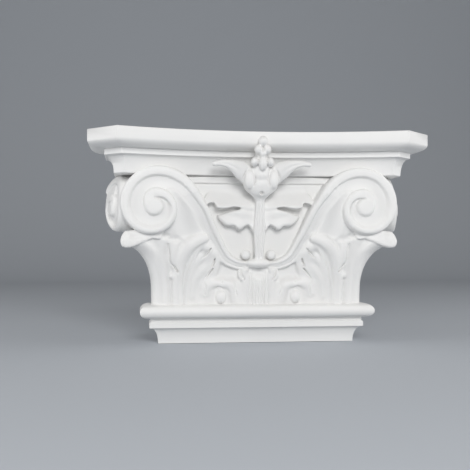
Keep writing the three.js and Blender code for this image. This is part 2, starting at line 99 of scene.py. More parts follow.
@dataclass(frozen=True)
class Drawing:
    """Heights and depths that the mouldings and the carving share, in millimetres."""

    total_height: float = 210.0
    shaft_half: float = 100.0
    shaft_depth: float = 24.0
    neck_height: float = 39.5
    neck_reach: float = 6.0
    bell_top_reach: float = 10.0
    lip_foot: float = 161.0
    lip_height: float = 6.5
    lip_reach: float = 12.0
    abacus_foot: float = 168.5

    def bell_reach(self, height: Array) -> Array:
        """How far the bell stands out from the shaft at a height."""
        share = ramp(height, self.neck_height, self.lip_foot - self.neck_height)
        return self.neck_reach + (self.bell_top_reach - self.neck_reach) * share * share

    def to_metres(self, points: Array) -> Array:
        """Places points of the drawing in the frame.

        Args:
            points: Rows of x, depth and height in millimetres.

        Returns:
            Rows of X, Y and Z in metres.
        """
        placed = np.empty_like(points)
        placed[:, 0] = points[:, 0]
        placed[:, 1] = -points[:, 1]
        placed[:, 2] = points[:, 2] - self.total_height / 2
        return placed * MM


DRAWING = Drawing()


def soft_min(a: Array, b: Array, blend: float) -> Array:
    """Joins two distance fields with a fillet.

    Args:
        a: Distances to one solid.
        b: Distances to the other.
        blend: About the width of the fillet. At 0 the join is sharp.

    Returns:
        Distances to both solids as one.
    """
    if blend <= 0.0:
        return np.minimum(a, b)
    near = np.maximum(blend - np.abs(a - b), 0.0) / blend
    return np.minimum(a, b) - near * near * (blend * 0.25)


def soft_max(a: Array, b: Array, blend: float) -> Array:
    """Intersects two distance fields with an edge rounded by about blend."""
    return -soft_min(-a, -b, blend)


def smooth_run(controls: Sequence[Row], steps: int) -> Array:
    """Runs smoothly through control rows (Catmull-Rom), both ends included.

    Args:
        controls: Rows of numbers, one row for each given station.
        steps: How many stretches each span between two rows is cut into.

    Returns:
        The rows of the smooth run.
    """
    rows = np.asarray(controls, dtype=float)
    padded = np.vstack([2 * rows[0] - rows[1], rows, 2 * rows[-1] - rows[-2]])
    result = []
    for i in range(len(rows) - 1):
        p, q, r, s = padded[i:i + 4]
        for k in range(steps):
            u = k / steps
            result.append(0.5 * (2 * q + (r - p) * u + (2 * p - 5 * q + 4 * r - s) * u ** 2
                                 + (3 * q - p - 3 * r + s) * u ** 3))
    result.append(rows[-1])
    return np.array(result)


def oval_distance(near: Array, steep: Array, least: Array) -> Array:
    """Distance to the surface of an oval.

    Args:
        near: Distance from its middle, counted in its half sizes.
        steep: That distance times its own slope.
        least: Smallest half size, which is how deep the middle lies.

    Returns:
        Signed distances in millimetres, negative inside.
    """
    return np.where(near > 1e-3, near * (near - 1.0) / np.maximum(steep, 1e-4), -least)


def window(lines: Sequence[Array], low: Row, high: Row) -> tuple[slice, ...]:
    """The part of three sets of grid lines that lies between two corners."""
    return tuple(slice(*np.searchsorted(line, (low[n], high[n]))) for n, line in enumerate(lines))


class Form:
    """A carved form with a box that holds it and a distance to its surface."""

    low: Array
    high: Array

    def distance(self, x: Array, t: Array, h: Array) -> Array:
        """Signed distance to the surface.

        Args:
            x: Grid lines across, from left to right.
            t: Grid lines in depth, out of the wall.
            h: Grid lines upwards.

        Returns:
            Distances at all crossings of the lines, negative inside.
        """
        raise NotImplementedError


class Ribbon(Form):
    """An oval section swept along a smooth run: a lobe, rib, stalk, petal or groove."""

    def __init__(self, stations: Sequence[Row], face: Row = FORWARDS, steps: int = 4) -> None:
        """Sets out the run.

        Args:
            stations: Rows of x, depth, height, half width and half thickness.
            face: The way the broad side looks, as x, depth, height.
            steps: Stretches in each span.
        """
        run = smooth_run(stations, steps)
        self.points = run[:, :3]
        self.half = np.maximum(run[:, 3:5], THINNEST)
        self.face = np.asarray(face, dtype=float) / np.linalg.norm(face)
        reach = self.half.max(axis=1, keepdims=True)
        self.low = (self.points - reach).min(axis=0)
        self.high = (self.points + reach).max(axis=0)

    def distance(self, x: Array, t: Array, h: Array) -> Array:
        """Distance to the swept oval, stretch by stretch.

        Args:
            x: Grid lines across.
            t: Grid lines in depth.
            h: Grid lines upwards.

        Returns:
            Distances at all crossings of the lines, negative inside.
        """
        result = np.full((len(x), len(t), len(h)), FAR, np.float32)
        for i in range(len(self.points) - 1):
            start, end = self.points[i], self.points[i + 1]
            reach = self.half[i:i + 2].max() + STRETCH_MARGIN
            cut = window((x, t, h), np.minimum(start, end) - reach, np.maximum(start, end) + reach)
            if all(c.start < c.stop for c in cut):
                block = result[cut]
                np.minimum(block, self._stretch(i, x[cut[0]], t[cut[1]], h[cut[2]]), out=block)
        return result

    def _stretch(self, i: int, x: Array, t: Array, h: Array) -> Array:
        """Distance to one stretch of the run.

        Args:
            i: Number of the stretch.
            x: Grid lines across, near the stretch.
            t: Grid lines in depth.
            h: Grid lines upwards.

        Returns:
            Distances at all crossings of the lines, negative inside.
        """
        start, half = self.points[i], self.half[i:i + 2]
        run = self.points[i + 1] - start
        px = x[:, None, None] - start[0]
        pt = t[None, :, None] - start[1]
        ph = h[None, None, :] - start[2]
        length = max(np.linalg.norm(run), 1e-6)
        along = run / length
        across = np.cross(along, self.face)
        across /= max(np.linalg.norm(across), 1e-6)
        up = np.cross(across, along)
        travel = px * along[0] + pt * along[1] + ph * along[2]
        share = np.clip(travel / length, 0.0, 1.0)
        wide = half[0, 0] + (half[1, 0] - half[0, 0]) * share
        thick = half[0, 1] + (half[1, 1] - half[0, 1]) * share
        side = px * across[0] + pt * across[1] + ph * across[2]
        rise = px * up[0] + pt * up[1] + ph * up[2]
        over = travel - share * length
        ends = np.minimum(wide, thick)
        near = np.sqrt((side / wide) ** 2 + (rise / thick) ** 2 + (over / ends) ** 2)
        steep = np.sqrt((side / wide ** 2) ** 2 + (rise / thick ** 2) ** 2 + (over / ends ** 2) ** 2)
        return oval_distance(near, steep, ends)


class Egg(Form):
    """A berry, bud, boss or hollow with its own half size each way."""

    def __init__(self, centre: Row, half: Row) -> None:
        """Sets out the egg.

        Args:
            centre: Its middle as x, depth, height.
            half: Its half sizes in the same order.
        """
        self.centre = np.asarray(centre, dtype=float)
        self.half = np.asarray(half, dtype=float)
        self.low = self.centre - self.half
        self.high = self.centre + self.half

    def distance(self, x: Array, t: Array, h: Array) -> Array:
        """Distance to the egg.

        Args:
            x: Grid lines across.
            t: Grid lines in depth.
            h: Grid lines upwards.

        Returns:
            Distances at all crossings of the lines, negative inside.
        """
        a = (x[:, None, None] - self.centre[0]) / self.half[0]
        b = (t[None, :, None] - self.centre[1]) / self.half[1]
        c = (h[None, None, :] - self.centre[2]) / self.half[2]
        near = np.sqrt(a ** 2 + b ** 2 + c ** 2)
        steep = np.sqrt((a / self.half[0]) ** 2 + (b / self.half[1]) ** 2 + (c / self.half[2]) ** 2)
        return oval_distance(near, steep, self.half.min()).astype(np.float32)


class Panel(Form):
    """A flat-backed relief: an outline seen from the front and a carved face over it."""

    def __init__(self, low: Row, high: Row, outline: Plane, face: Plane, back: float,
                 rounding: float) -> None:
        """Sets out the relief.

        Args:
            low: Lowest corner of the box that holds it, x, depth, height.
            high: Highest corner of that box.
            outline: Signed distance to the outline at x, height.
            face: Depth of the carved face at x, height.
            back: Depth of the flat back.
            rounding: How much the edge of the face is rounded.
        """
        self.low = np.asarray(low, dtype=float)
        self.high = np.asarray(high, dtype=float)
        self.outline = outline
        self.face = face
        self.back = back
        self.rounding = rounding

    def distance(self, x: Array, t: Array, h: Array) -> Array:
        """Distance to the relief.

        Args:
            x: Grid lines across.
            t: Grid lines in depth.
            h: Grid lines upwards.

        Returns:
            Distances at all crossings of the lines, negative inside.
        """
        across, up = x[:, None], h[None, :]
        edge = self.outline(across, up)[:, None, :]
        depth = t[None, :, None]
        front = (depth - self.face(across, up)[:, None, :]) * LEAN
        body = soft_max(edge, front, self.rounding)
        return np.maximum(body, self.back - depth).astype(np.float32)


class Outline:
    """A smooth closed outline seen from the front."""

    def __init__(self, controls: Sequence[Row], steps: int = 5) -> None:
        """Runs the outline through its control points.

        Args:
            controls: Rows of x, height.
            steps: Stretches between two control points.
        """
        self.corners = smooth_run([*controls, controls[0]], steps)[:-1]

    def __call__(self, x: Array, h: Array) -> Array:
        """Distance to the outline.

        Args:
            x: Places across.
            h: Heights.

        Returns:
            Distances at those points, negative inside.
        """
        nearest = np.full(np.broadcast(x, h).shape, HUGE)
        inside = np.zeros(nearest.shape, dtype=bool)
        for (ax, ah), (bx, bh) in zip(self.corners, np.roll(self.corners, -1, axis=0)):
            ex, eh = bx - ax, bh - ah
            share = np.clip(((x - ax) * ex + (h - ah) * eh) / max(ex * ex + eh * eh, 1e-9), 0.0, 1.0)
            nearest = np.minimum(nearest, (x - ax - share * ex) ** 2 + (h - ah - share * eh) ** 2)
            if ah != bh:
                inside ^= ((ah > h) != (bh > h)) & (x < ax + (h - ah) * ex / eh)
        return np.where(inside, -1.0, 1.0) * np.sqrt(nearest)


@dataclass
class Band:
    """Distances measured along and across a smooth path of changing width."""

    edges: Sequence[Row]
    steps: int = 6

    def __post_init__(self) -> None:
        """Turns the edge pairs into a centre line with half widths."""
        run = smooth_run(self.edges, self.steps)
        self.upper = run[:, 0:2]
        self.lower = run[:, 2:4]
        self.level = run[:, 4]
        self.turned = run[:, 5]
        self.middle = (self.upper + self.lower) / 2
        self.half = np.linalg.norm(self.upper - self.lower, axis=1) / 2

    def measure(self, x: Array, h: Array) -> tuple[Array, Array, Array, Array, Array]:
        """Finds where points lie on the band.

        Args:
            x: Places across the front.
            h: Heights.

        Returns:
            Signed distance to the band's edge, share across it from the upper edge,
            width there, level of its face and turn along it.
        """
        shape = np.broadcast(x, h).shape
        best = np.full(shape, HUGE)
        found = np.zeros((4, *shape))
        for i in range(len(self.middle) - 1):
            (ax, ah), (bx, bh) = self.middle[i], self.middle[i + 1]
            ex, eh = bx - ax, bh - ah
            k = np.clip(((x - ax) * ex + (h - ah) * eh) / (ex * ex + eh * eh), 0.0, 1.0)
            dx, dh = x - ax - k * ex, h - ah - k * eh
            off = np.hypot(dx, dh)
            half = self.half[i] + (self.half[i + 1] - self.half[i]) * k
            mx, mh = self.upper[i] - self.lower[i]
            share = 0.5 - 0.5 * np.sign(dx * mx + dh * mh) * off / half
            level = self.level[i] + (self.level[i + 1] - self.level[i]) * k
            turned = self.turned[i] + (self.turned[i + 1] - self.turned[i]) * k
            closer = off - half < best
            best = np.where(closer, off - half, best)
            found = np.where(closer, np.array([share, 2 * half, level, turned]), found)
        return best, *found


class Field:
    """The solid of the left half of the carving, as signed distances on a grid."""

    def __init__(self, cell: float, low: Row, high: Row) -> None:
        """Makes an empty grid.

        Args:
            cell: Grid spacing in millimetres.
            low: Lowest corner x, depth, height; x is negative.
            high: Highest corner; its x is the middle line.
        """
        self.cell = cell
        columns = math.ceil(-low[0] / cell)
        self.x = -(np.arange(columns)[::-1] + 0.5) * cell
        self.t = np.arange(low[1], high[1], cell)
        self.h = np.arange(low[2], high[2], cell)
        self.values = np.full((len(self.x), len(self.t), len(self.h)), FAR, np.float32)

    def _near(self, form: Form, margin: float) -> tuple[Array, Array]:
        """Looks at the grid near a form.

        Args:
            form: The form to join or to cut.
            margin: How far round it to look.

        Returns:
            That part of the grid, and the distances to the form there.
        """
        lines = (self.x, self.t, self.h)
        cut = window(lines, form.low - margin, form.high + margin)
        return self.values[cut], form.distance(*(line[part] for line, part in zip(lines, cut)))

    def add(self, form: Form, blend: float) -> None:
        """Joins a form to the solid with a fillet."""
        block, found = self._near(form, blend + BOX_MARGIN)
        block[...] = soft_min(block, found, blend)

    def carve(self, form: Form, blend: float) -> None:
        """Cuts a form out of the solid with a rounded edge."""
        block, found = self._near(form, blend + BOX_MARGIN)
        block[...] = soft_max(block, -found, blend)

    def to_mesh(self, name: str) -> bpy.types.Object:
        """Mirrors the half, skins the solid and links it.

        Args:
            name: Name of the object.

        Returns:
            The object.
        """
        skin = SKIN_CELLS * self.cell
        whole = np.concatenate([self.values, self.values[::-1]], axis=0)
        grid = openvdb.FloatGrid(skin)
        grid.copyFromArray(np.clip(whole, -skin, skin), tolerance=0.0)
        points, quads = grid.convertToQuads(0.0)
        placed = np.empty((len(points), 3))
        for n, line in enumerate((self.x, self.t, self.h)):
            placed[:, n] = points[:, n] * self.cell + line[0]
        outwards = quads.astype(np.int64)[:, ::-1]
        return link_mesh(name, DRAWING.to_metres(placed), outwards)


def link_mesh(name: str, points: Array, faces: Sequence[Sequence[int]]) -> bpy.types.Object:
    """Makes a mesh object and links it.

    Args:
        name: Name of the object and its mesh.
        points: Corners in metres.
        faces: Numbers of the corners of each face.

    Returns:
        The object.
    """
    mesh = bpy.data.meshes.new(name)
    mesh.from_pydata([tuple(p) for p in points], [], [tuple(int(i) for i in f) for f in faces])
    mesh.validate()
    mesh.update()
    piece = bpy.data.objects.new(name, mesh)
    bpy.context.scene.collection.objects.link(piece)
    return piece


def apply_modifiers(piece: bpy.types.Object) -> None:
    """Applies an object's modifiers to its mesh.

    Args:
        piece: The object, which keeps its name and gets the new mesh.
    """
    graph = bpy.context.evaluated_depsgraph_get()
    mesh = bpy.data.meshes.new_from_object(piece.evaluated_get(graph))
    piece.modifiers.clear()
    piece.data = mesh


def smooth_faces(piece: bpy.types.Object) -> None:
    """Shades all faces of an object smooth."""
    piece.data.polygons.foreach_set("use_smooth", [True] * len(piece.data.polygons))


@dataclass
class Mouldings:
    """Base, bell core and abacus: one profile run round one plan each."""

    back: float = -6.0
    arc_steps: int = 72
    curve_steps: int = 14
    cavetto_steps: int = 10
    torus_steps: int = 22
    core_rings: int = 10
    arris: float = 0.7
    cavetto_height: float = 16.0
    cavetto_reach: float = 9.0
    cavetto_step: float = 1.0
    base_fillet_top: float = 21.5
    shade_rise: float = 0.6
    shade_drop: float = 1.6
    torus_foot: float = 25.5
    torus_reach: float = 18.5
    core_inset: float = 0.6
    core_sink: float = 3.0
    core_overlap: float = 1.0
    lip_edge: float = 0.6
    lip_drop: float = 1.8
    lip_run_out: float = 1.2
    lip_run_in: float = 0.8
    lip_gap: float = 0.2
    fillet_gap: float = 0.1
    ovolo_gap: float = 0.2
    abacus_half: float = 169.0
    abacus_depth: float = 87.0
    horn_half: float = 140.0
    front_sag: float = 26.0
    cant_side_depth: float = 58.0
    cove_height: float = 17.5
    cove_foot: float = 25.0
    cove_top: float = 17.5
    fillet_height: float = 6.0
    fillet_setback: float = 16.0
    ovolo_height: float = 7.5
    ovolo_setback: float = 15.0

    def shaft_plan(self, reach: float) -> list[tuple[float, float]]:
        """Plan of the shaft grown by a reach."""
        x, depth = DRAWING.shaft_half + reach, DRAWING.shaft_depth + reach
        return [(-x, self.back), (-x, depth), (x, depth), (x, self.back)]

    def abacus_plan(self, setback: float) -> list[tuple[float, float]]:
        """Plan of the abacus, concave in front with canted horns.

        Args:
            setback: How far the outline is drawn in.

        Returns:
            The outline as x, depth pairs from the wall on the left to the wall on the right.
        """
        radius = (self.horn_half ** 2 + self.front_sag ** 2) / (2 * self.front_sag)
        centre = self.abacus_depth - self.front_sag + radius
        cant = self.abacus_half + self.cant_side_depth - setback * math.sqrt(2)
        reach = radius + setback
        shift = cant - centre
        horn = (shift + math.sqrt(2 * reach ** 2 - shift ** 2)) / 2
        side = self.abacus_half - setback
        sweep = math.asin(horn / reach)
        turns = np.linspace(-sweep, sweep, self.arc_steps + 1)
        front = [(reach * math.sin(a), centre - reach * math.cos(a)) for a in turns]
        return [(-side, self.back), (-side, cant - side), *front, (side, cant - side), (side, self.back)]

    def stack(self, name: str, profile: Sequence[tuple[float, float]],
              plan: Callable[[float], list[tuple[float, float]]]) -> bpy.types.Object:
        """Runs a profile round a plan and closes both ends.

        Args:
            name: Name of the moulding.
            profile: Rows of height and reach, from the bottom up.
            plan: Gives the outline, seen from above, for a reach.

        Returns:
            The closed moulding.
        """
        rings = [[(x, t, height) for x, t in plan(reach)] for height, reach in profile]
        count = len(rings[0])
        points = np.array([p for ring in rings for p in ring])
        faces: list[Sequence[int]] = []
        for k in range(len(rings) - 1):
            low, high = k * count, (k + 1) * count
            for i in range(count):
                j = (i + 1) % count
                faces.append((low + i, low + j, high + j, high + i))
        faces.append(tuple(range(count - 1, -1, -1)))
        faces.append(tuple(range((len(rings) - 1) * count, len(rings) * count)))
        return link_mesh(name, DRAWING.to_metres(points), faces)

    @staticmethod
    def quarter(steps: int, point: Callable[[float], tuple[float, float]]) -> list[tuple[float, float]]:
        """Points of a quarter turn from 0 to 90 degrees."""
        return [point(a) for a in np.linspace(0.0, math.pi / 2, steps + 1)]

    def base(self) -> bpy.types.Object:
        """Cavetto, fillet, shade line and torus.

        Returns:
            The closed moulding.
        """
        r, top = self.arris, self.base_fillet_top
        height, reach = self.cavetto_height, self.cavetto_reach
        neck = DRAWING.neck_height
        profile = self.quarter(self.cavetto_steps, lambda a: (
            height * math.sin(a), (reach - self.cavetto_step) * (1 - math.cos(a))))
        profile += [(height, reach - r * 0.5), (height + r * 0.5, reach), (top - r, reach),
                    (top, reach - r), (top + self.shade_rise, reach - self.shade_drop),
                    (self.torus_foot - self.shade_rise, reach - self.shade_drop)]
        middle = (self.torus_foot + neck) / 2
        half = (neck - self.torus_foot) / 2
        for a in np.linspace(-math.pi / 2, math.pi / 2, self.torus_steps + 1):
            profile.append((middle + half * math.sin(a), reach + (self.torus_reach - reach) * math.cos(a)))
        return self.stack("base", profile, self.shaft_plan)

    def bell(self) -> bpy.types.Object:
        """Core behind the carving, with the lip under the abacus.

        Returns:
            The closed moulding.
        """
        d, edge = DRAWING, self.lip_edge
        foot, reach = d.lip_foot, d.lip_reach
        top = foot + d.lip_height
        profile = [(d.neck_height - self.core_sink, d.neck_reach - self.core_inset)]
        profile += [(h, float(d.bell_reach(h)) - self.core_inset)
                    for h in np.linspace(d.neck_height, foot - self.lip_run_out, self.core_rings)]
        profile += [(foot - self.lip_run_in, d.bell_top_reach - self.core_inset), (foot, reach - edge),
                    (foot + edge, reach), (top - edge, reach), (top, reach - edge),
                    (top + self.lip_gap, reach - self.lip_drop),
                    (d.abacus_foot + self.core_overlap, reach - self.lip_drop)]
        return self.stack("bell", profile, self.shaft_plan)

    def abacus(self) -> bpy.types.Object:
        """Cove, fillet, ovolo and fascia.

        Returns:
            The closed moulding.
        """
        foot, top, r = DRAWING.abacus_foot, DRAWING.total_height, self.arris
        fillet = self.fillet_setback
        fillet_foot = foot + self.cove_height
        fillet_top = fillet_foot + self.fillet_height
        fascia_foot = fillet_top + self.ovolo_height
        cove = self.quarter(self.curve_steps, lambda a: (
            foot + self.cove_height * math.sin(a),
            self.cove_foot - (self.cove_foot - self.cove_top) * (1 - math.cos(a))))
        profile = [(foot, self.cove_foot + r)]
        profile += [(max(h, foot + r), reach) for h, reach in cove]
        profile += [(fillet_foot + self.fillet_gap, fillet + r * 0.5),
                    (fillet_foot + self.fillet_gap + r * 0.5, fillet),
                    (fillet_top - r * 0.5, fillet), (fillet_top, fillet + r * 0.5)]
        profile += self.quarter(self.curve_steps, lambda a: (
            fascia_foot - (self.ovolo_height - self.ovolo_gap) * math.cos(a),
            self.ovolo_setback * (1 - math.sin(a))))
        profile += [(top - r, 0.0), (top - r * 0.3, r * 0.3), (top, r)]
        return self.stack("abacus", profile, self.abacus_plan)

    def build(self) -> list[bpy.types.Object]:
        """All three mouldings."""
        return [self.base(), self.bell(), self.abacus()]


class Bell(Form):
    """Front and sides of the bell, a tapering block that the carving grows out of."""

    low = np.array([-114.0, -4.0, 33.0])
    high = np.array([0.0, 36.0, 165.0])
    foot: float = 34.0
    top: float = 160.0
    corner: float = 4.0

    def distance(self, x: Array, t: Array, h: Array) -> Array:
        """Distance to the block.

        Args:
            x: Grid lines across.
            t: Grid lines in depth.
            h: Grid lines upwards.

        Returns:
            Distances at all crossings of the lines, negative inside.
        """
        reach = DRAWING.bell_reach(h)[None, None, :]
        side = -x[:, None, None] - DRAWING.shaft_half - reach
        front = t[None, :, None] - DRAWING.shaft_depth - reach
        body = soft_max(side, front, self.corner)
        ends = np.maximum(h - self.top, self.foot - h)[None, None, :]
        return np.maximum(body, ends).astype(np.float32)

    def carve(self, field: Field) -> None:
        """Adds the bell to the solid."""
        field.add(self, 0.0)


# middle of the front volute's eye: x, height
EYE = (-105.0, 136.5)


@dataclass(frozen=True)
class Scroll:
    """The spiral band in its own plane: a raised rim, a channel and a round eye.

    Turns are degrees from the top, outwards and down. Below zero the band opens into the stem.
    """

    top_radius: float = 39.5
    ratio: float = 0.46
    eye_radius: float = 9.3
    eye_rise: float = 0.9
    eye_edge: float = 2.2
    eye_groove: float = 3.6
    run_in_end: float = 465.0
    start: float = -72.0
    seam: float = 2.2
    widening: float = 5.5
    widening_turn: float = 70.0
    widening_limit: float = 1.6
    widening_power: float = 1.2
    climb: float = 1.2
    rim_drop: float = 2.4
    rim_fall: float = 0.9
    rim_crown: float = 0.5
    channel_sag: float = 0.7
    rim_turns: tuple[float, ...] = (-230, -160, -100, -83, -67, -40, 0, 40, 90, 180, 270, 305, 345)
    rim_shares: tuple[float, ...] = (0.42, 0.40, 0.36, 0.37, 0.42, 0.48, 0.45, 0.44, 0.38, 0.38, 0.48, 0.70,
                                     1.03)
    step_turns: tuple[float, ...] = (-230, -150, -70, 45, 110, 200, 270, 345)
    step_spans: tuple[float, ...] = (0.14, 0.12, 0.10, 0.11, 0.24, 0.30, 0.20, 0.14)
    step_depths: tuple[float, ...] = (1.2, 2.2, 3.6, 4.0, 3.4, 3.0, 3.0, 3.4)

    def outer(self, turned: Array) -> Array:
        """Radius of the outer edge: a log spiral that runs in to the eye."""
        radius = self.top_radius * self.ratio ** (turned / 360.0)
        closed = ease(ramp(turned, 360.0, self.run_in_end - 360.0))
        return radius * (1.0 - closed) + self.eye_radius * closed

    def inner(self, turned: Array) -> Array:
        """Radius of the inner edge, which leaves the next turn before the top."""
        opened = np.clip(-turned / self.widening_turn, 0.0, self.widening_limit)
        return self.outer(turned + 360.0) + self.widening * opened ** self.widening_power

    def profile(self, turned: Array, share: Array, width: Array) -> Array:
        """Rise of the band's face.

        Args:
            turned: Turn in degrees.
            share: Share across the band from its outer edge.
            width: Width of the band there.

        Returns:
            Rise over the level of the band.
        """
        share = np.clip(share, 0.0, 1.0)
        rim = np.interp(turned, self.rim_turns, self.rim_shares)
        span = np.interp(turned, self.step_turns, self.step_spans)
        depth = np.interp(turned, self.step_turns, self.step_depths)
        step = ease(np.clip((share - rim) / span + 0.5, 0.0, 1.0))
        lip = -self.rim_drop * np.exp(-share * width / self.rim_fall)
        crown = self.rim_crown * np.sin(np.clip(share / rim, 0.0, 1.0) * math.pi)
        channel = ramp(share, rim, np.maximum(1.0 - rim, 0.02))
        return lip + crown - depth * step - self.channel_sag * np.sin(channel * math.pi)

    def plane(self, a: Array, b: Array) -> tuple[Array, Array]:
        """Edge distance and face rise of the scroll.

        Args:
            a: Distance outwards from the eye.
            b: Height above the eye.

        Returns:
            Signed distance to the outer edge, and rise of the face over its level.
        """
        radius = np.maximum(np.hypot(a, b), 0.2)
        turned = np.degrees(np.arctan2(a, b)) % 360.0
        early = turned - 360.0
        opening = turned > 360.0 + self.start
        edge = radius - self.outer(turned)
        early_edge = np.maximum(radius - self.outer(early), self.inner(early) - self.seam - radius)
        edge = np.where(opening, np.minimum(edge, early_edge), edge)
        on_early = opening & (radius > self.outer(turned))
        turn = np.where(on_early, early, turned)
        outer = self.outer(turn)
        width = np.maximum(outer - np.where(on_early, self.inner(turn), self.outer(turn + 360.0)), 0.5)
        rise = self.profile(turn, (outer - radius) / width, width)
        rise = rise + self.climb * np.clip(turn / 360.0, -0.3, 1.0)
        depth_in = self.outer(turned + 360.0) - radius
        raised = self.climb - self.eye_groove * np.exp(-np.maximum(depth_in, 0.0))
        raised = raised + self.eye_rise * np.clip((self.eye_radius - radius) / self.eye_edge, 0.0, 1.0)
        return edge, np.where(depth_in > 0.0, raised, rise)


@dataclass
class Volute:
    """A scroll on the front or on the return."""

    side: Side
    scroll: Scroll = Scroll()
    eye: tuple[float, float] = EYE
    face: float = 58.0
    back: float = 34.0
    rounding: float = 1.2
    side_scale: float = 0.84
    side_front_depth: float = 52.0
    side_face: float = 138.0
    side_flare: float = 0.33
    side_belly: float = 7.0
    side_web_drop: float = 1.5
    side_web_blend: float = 3.0
    side_inner: float = 100.0
    side_top: float = 168.0

    def carve(self, field: Field) -> None:
        """Adds the volute to the solid.

        Args:
            field: The solid that is carved.
        """
        if self.side is Side.FRONT:
            field.add(Panel((-139, self.back, 108), (-56, 66, 178), self._front_edge, self._front_face,
                            self.back, self.rounding), 0.6)
        else:
            field.add(TurnedScroll(self), 1.0)

    def _front_edge(self, x: Array, h: Array) -> Array:
        """Distance to the edge of the volute that looks forwards."""
        return self.scroll.plane(self.eye[0] - x, h - self.eye[1])[0]

    def _front_face(self, x: Array, h: Array) -> Array:
        """Depth of the face of the volute that looks forwards."""
        return self.face + self.scroll.plane(self.eye[0] - x, h - self.eye[1])[1]


class TurnedScroll(Form):
    """The smaller scroll round the corner, turned sideways and leaning out towards the wall."""

    low = np.array([-160.0, -4.0, 108.0])
    high = np.array([-98.0, 54.0, 170.0])

    def __init__(self, volute: Volute) -> None:
        """Places the eye so that the scroll meets its front line and its top.

        Args:
            volute: The volute whose sizes it takes.
        """
        self.volute = volute
        self.eye_depth = volute.side_front_depth - volute.scroll.outer(np.array(90.0)) * volute.side_scale
        self.eye_height = volute.side_top - volute.scroll.top_radius * volute.side_scale

    def distance(self, x: Array, t: Array, h: Array) -> Array:
        """Distance to the turned scroll and the web behind it.

        Args:
            x: Grid lines across.
            t: Grid lines in depth.
            h: Grid lines upwards.

        Returns:
            Distances at all crossings of the lines, negative inside.
        """
        v = self.volute
        ahead = (t[:, None] - self.eye_depth) / v.side_scale
        up = (h[None, :] - self.eye_height) / v.side_scale
        edge, rise = v.scroll.plane(ahead, up)
        edge = edge * v.side_scale
        flare = (v.side_front_depth - t[:, None]) * v.side_flare
        level = v.side_face + flare - v.side_belly * (up / v.scroll.top_radius) ** 2
        out = -x[:, None, None]
        body = soft_max(edge[None], (out - level[None] - rise[None] * v.side_scale) * LEAN, v.rounding)
        web_edge = (np.hypot(ahead, up) - v.scroll.top_radius) * v.side_scale
        behind = np.maximum(np.maximum(web_edge, t[:, None] - self.eye_depth), -up)
        web = soft_max(behind[None], (out - level[None] + v.side_web_drop) * LEAN, v.rounding)
        body = soft_min(body, web, v.side_web_blend)
        return np.maximum(body, v.side_inner - out).astype(np.float32)


@dataclass
class Stem:
    """S-shaped stem from the collar to the volute, and the web beside it."""

    scroll: Scroll = Scroll()
    eye: tuple[float, float] = EYE
    back: float = 26.0
    groove_depth: float = 0.9
    groove_share: float = 0.74
    groove_width: float = 0.06
    groove_end: float = 110.0
    groove_fade: float = 50.0
    edge_drop: float = 1.6
    edge_fall: float = 0.9

    def __post_init__(self) -> None:
        """Sets out the band, in rows of upper x, h, lower x, h, level and turn."""
        self.band = Band([
            (-3, 83.5, -3, 77.5, 37.5, -232), (-12, 83, -13, 75, 37.8, -220),
            (-20, 84.5, -23.7, 75.2, 38.2, -206), (-28, 89.5, -35.5, 80.5, 39.2, -190),
            (-33, 96.5, -43, 90, 41, -176), (-38, 106.5, -50, 100.5, 44, -160),
            (-43, 116.5, -56.4, 110.5, 47.5, -142), (-47, 125.5, -60.6, 118.6, 50.5, -125),
            (-51, 134.5, -65.2, 126.8, 53.4, -108), (-56, 142.8, -72, 135.8, 55.8, -88),
            self._scroll_row(-72.0, 57.6), self._scroll_row(-60.0, 57.8),
        ])

    def carve(self, field: Field) -> None:
        """Adds the web, then the stem over it.

        Args:
            field: The solid that is carved.
        """
        web = Outline([(-104, 103), (-90, 101), (-74, 104), (-57, 106), (-60, 118), (-67, 132), (-76, 144),
                       (-86, 154), (-96, 150), (-100, 128), (-106, 114)])
        field.add(Panel((-108, self.back, 98), (-52, 60, 156), web, self._web_face, self.back, 3.0), 2.5)
        field.add(Panel((-90, self.back, 70), (0, 62, 172), self._edge, self._face, self.back, 1.2), 2.0)

    def _scroll_row(self, turned: float, level: float) -> tuple[float, ...]:
        """A row of the band where it lies on the scroll.

        Args:
            turned: Turn on the scroll in degrees.
            level: Level of the band's face there.

        Returns:
            Upper x, h, lower x, h, level and turn.
        """
        a = math.radians(turned)
        outer = float(self.scroll.outer(np.array(turned)))
        inner = float(self.scroll.inner(np.array(turned)))
        return (self.eye[0] - outer * math.sin(a), self.eye[1] + outer * math.cos(a),
                self.eye[0] - inner * math.sin(a), self.eye[1] + inner * math.cos(a), level, turned)

    def _edge(self, x: Array, h: Array) -> Array:
        """Distance to the edge of the stem."""
        return self.band.measure(x, h)[0]

    def _face(self, x: Array, h: Array) -> Array:
        """Depth of the stem's face, with a fine groove that fades towards the volute.

        Args:
            x: Places across.
            h: Heights.

        Returns:
            Depths at those points.
        """
        _, share, width, level, turned = self.band.measure(x, h)
        groove = -self.groove_depth * swell(share - self.groove_share, self.groove_width)
        groove = groove * ramp(-turned, self.groove_end, self.groove_fade)
        edge = -self.edge_drop * np.exp(-(1.0 - np.clip(share, 0, 1)) * width / self.edge_fall)
        return level + self.scroll.profile(turned, share, width) + groove + edge

    @staticmethod
    def _web_face(x: Array, h: Array) -> Array:
        """Depth of the shallow hollow between stem and volute.

        Args:
            x: Places across.
            h: Heights.

        Returns:
            Depths at those points.
        """
        rise = ramp(h, 100.0, 50.0)
        left = ramp(-x, 84.0, 16.0)
        hollow = 1.6 * swell(x + 76 + 0.35 * (h - 125), 9.0)
        return 46.5 + 10.5 * rise ** 1.3 - hollow - 4.0 * left * (1.0 - rise)


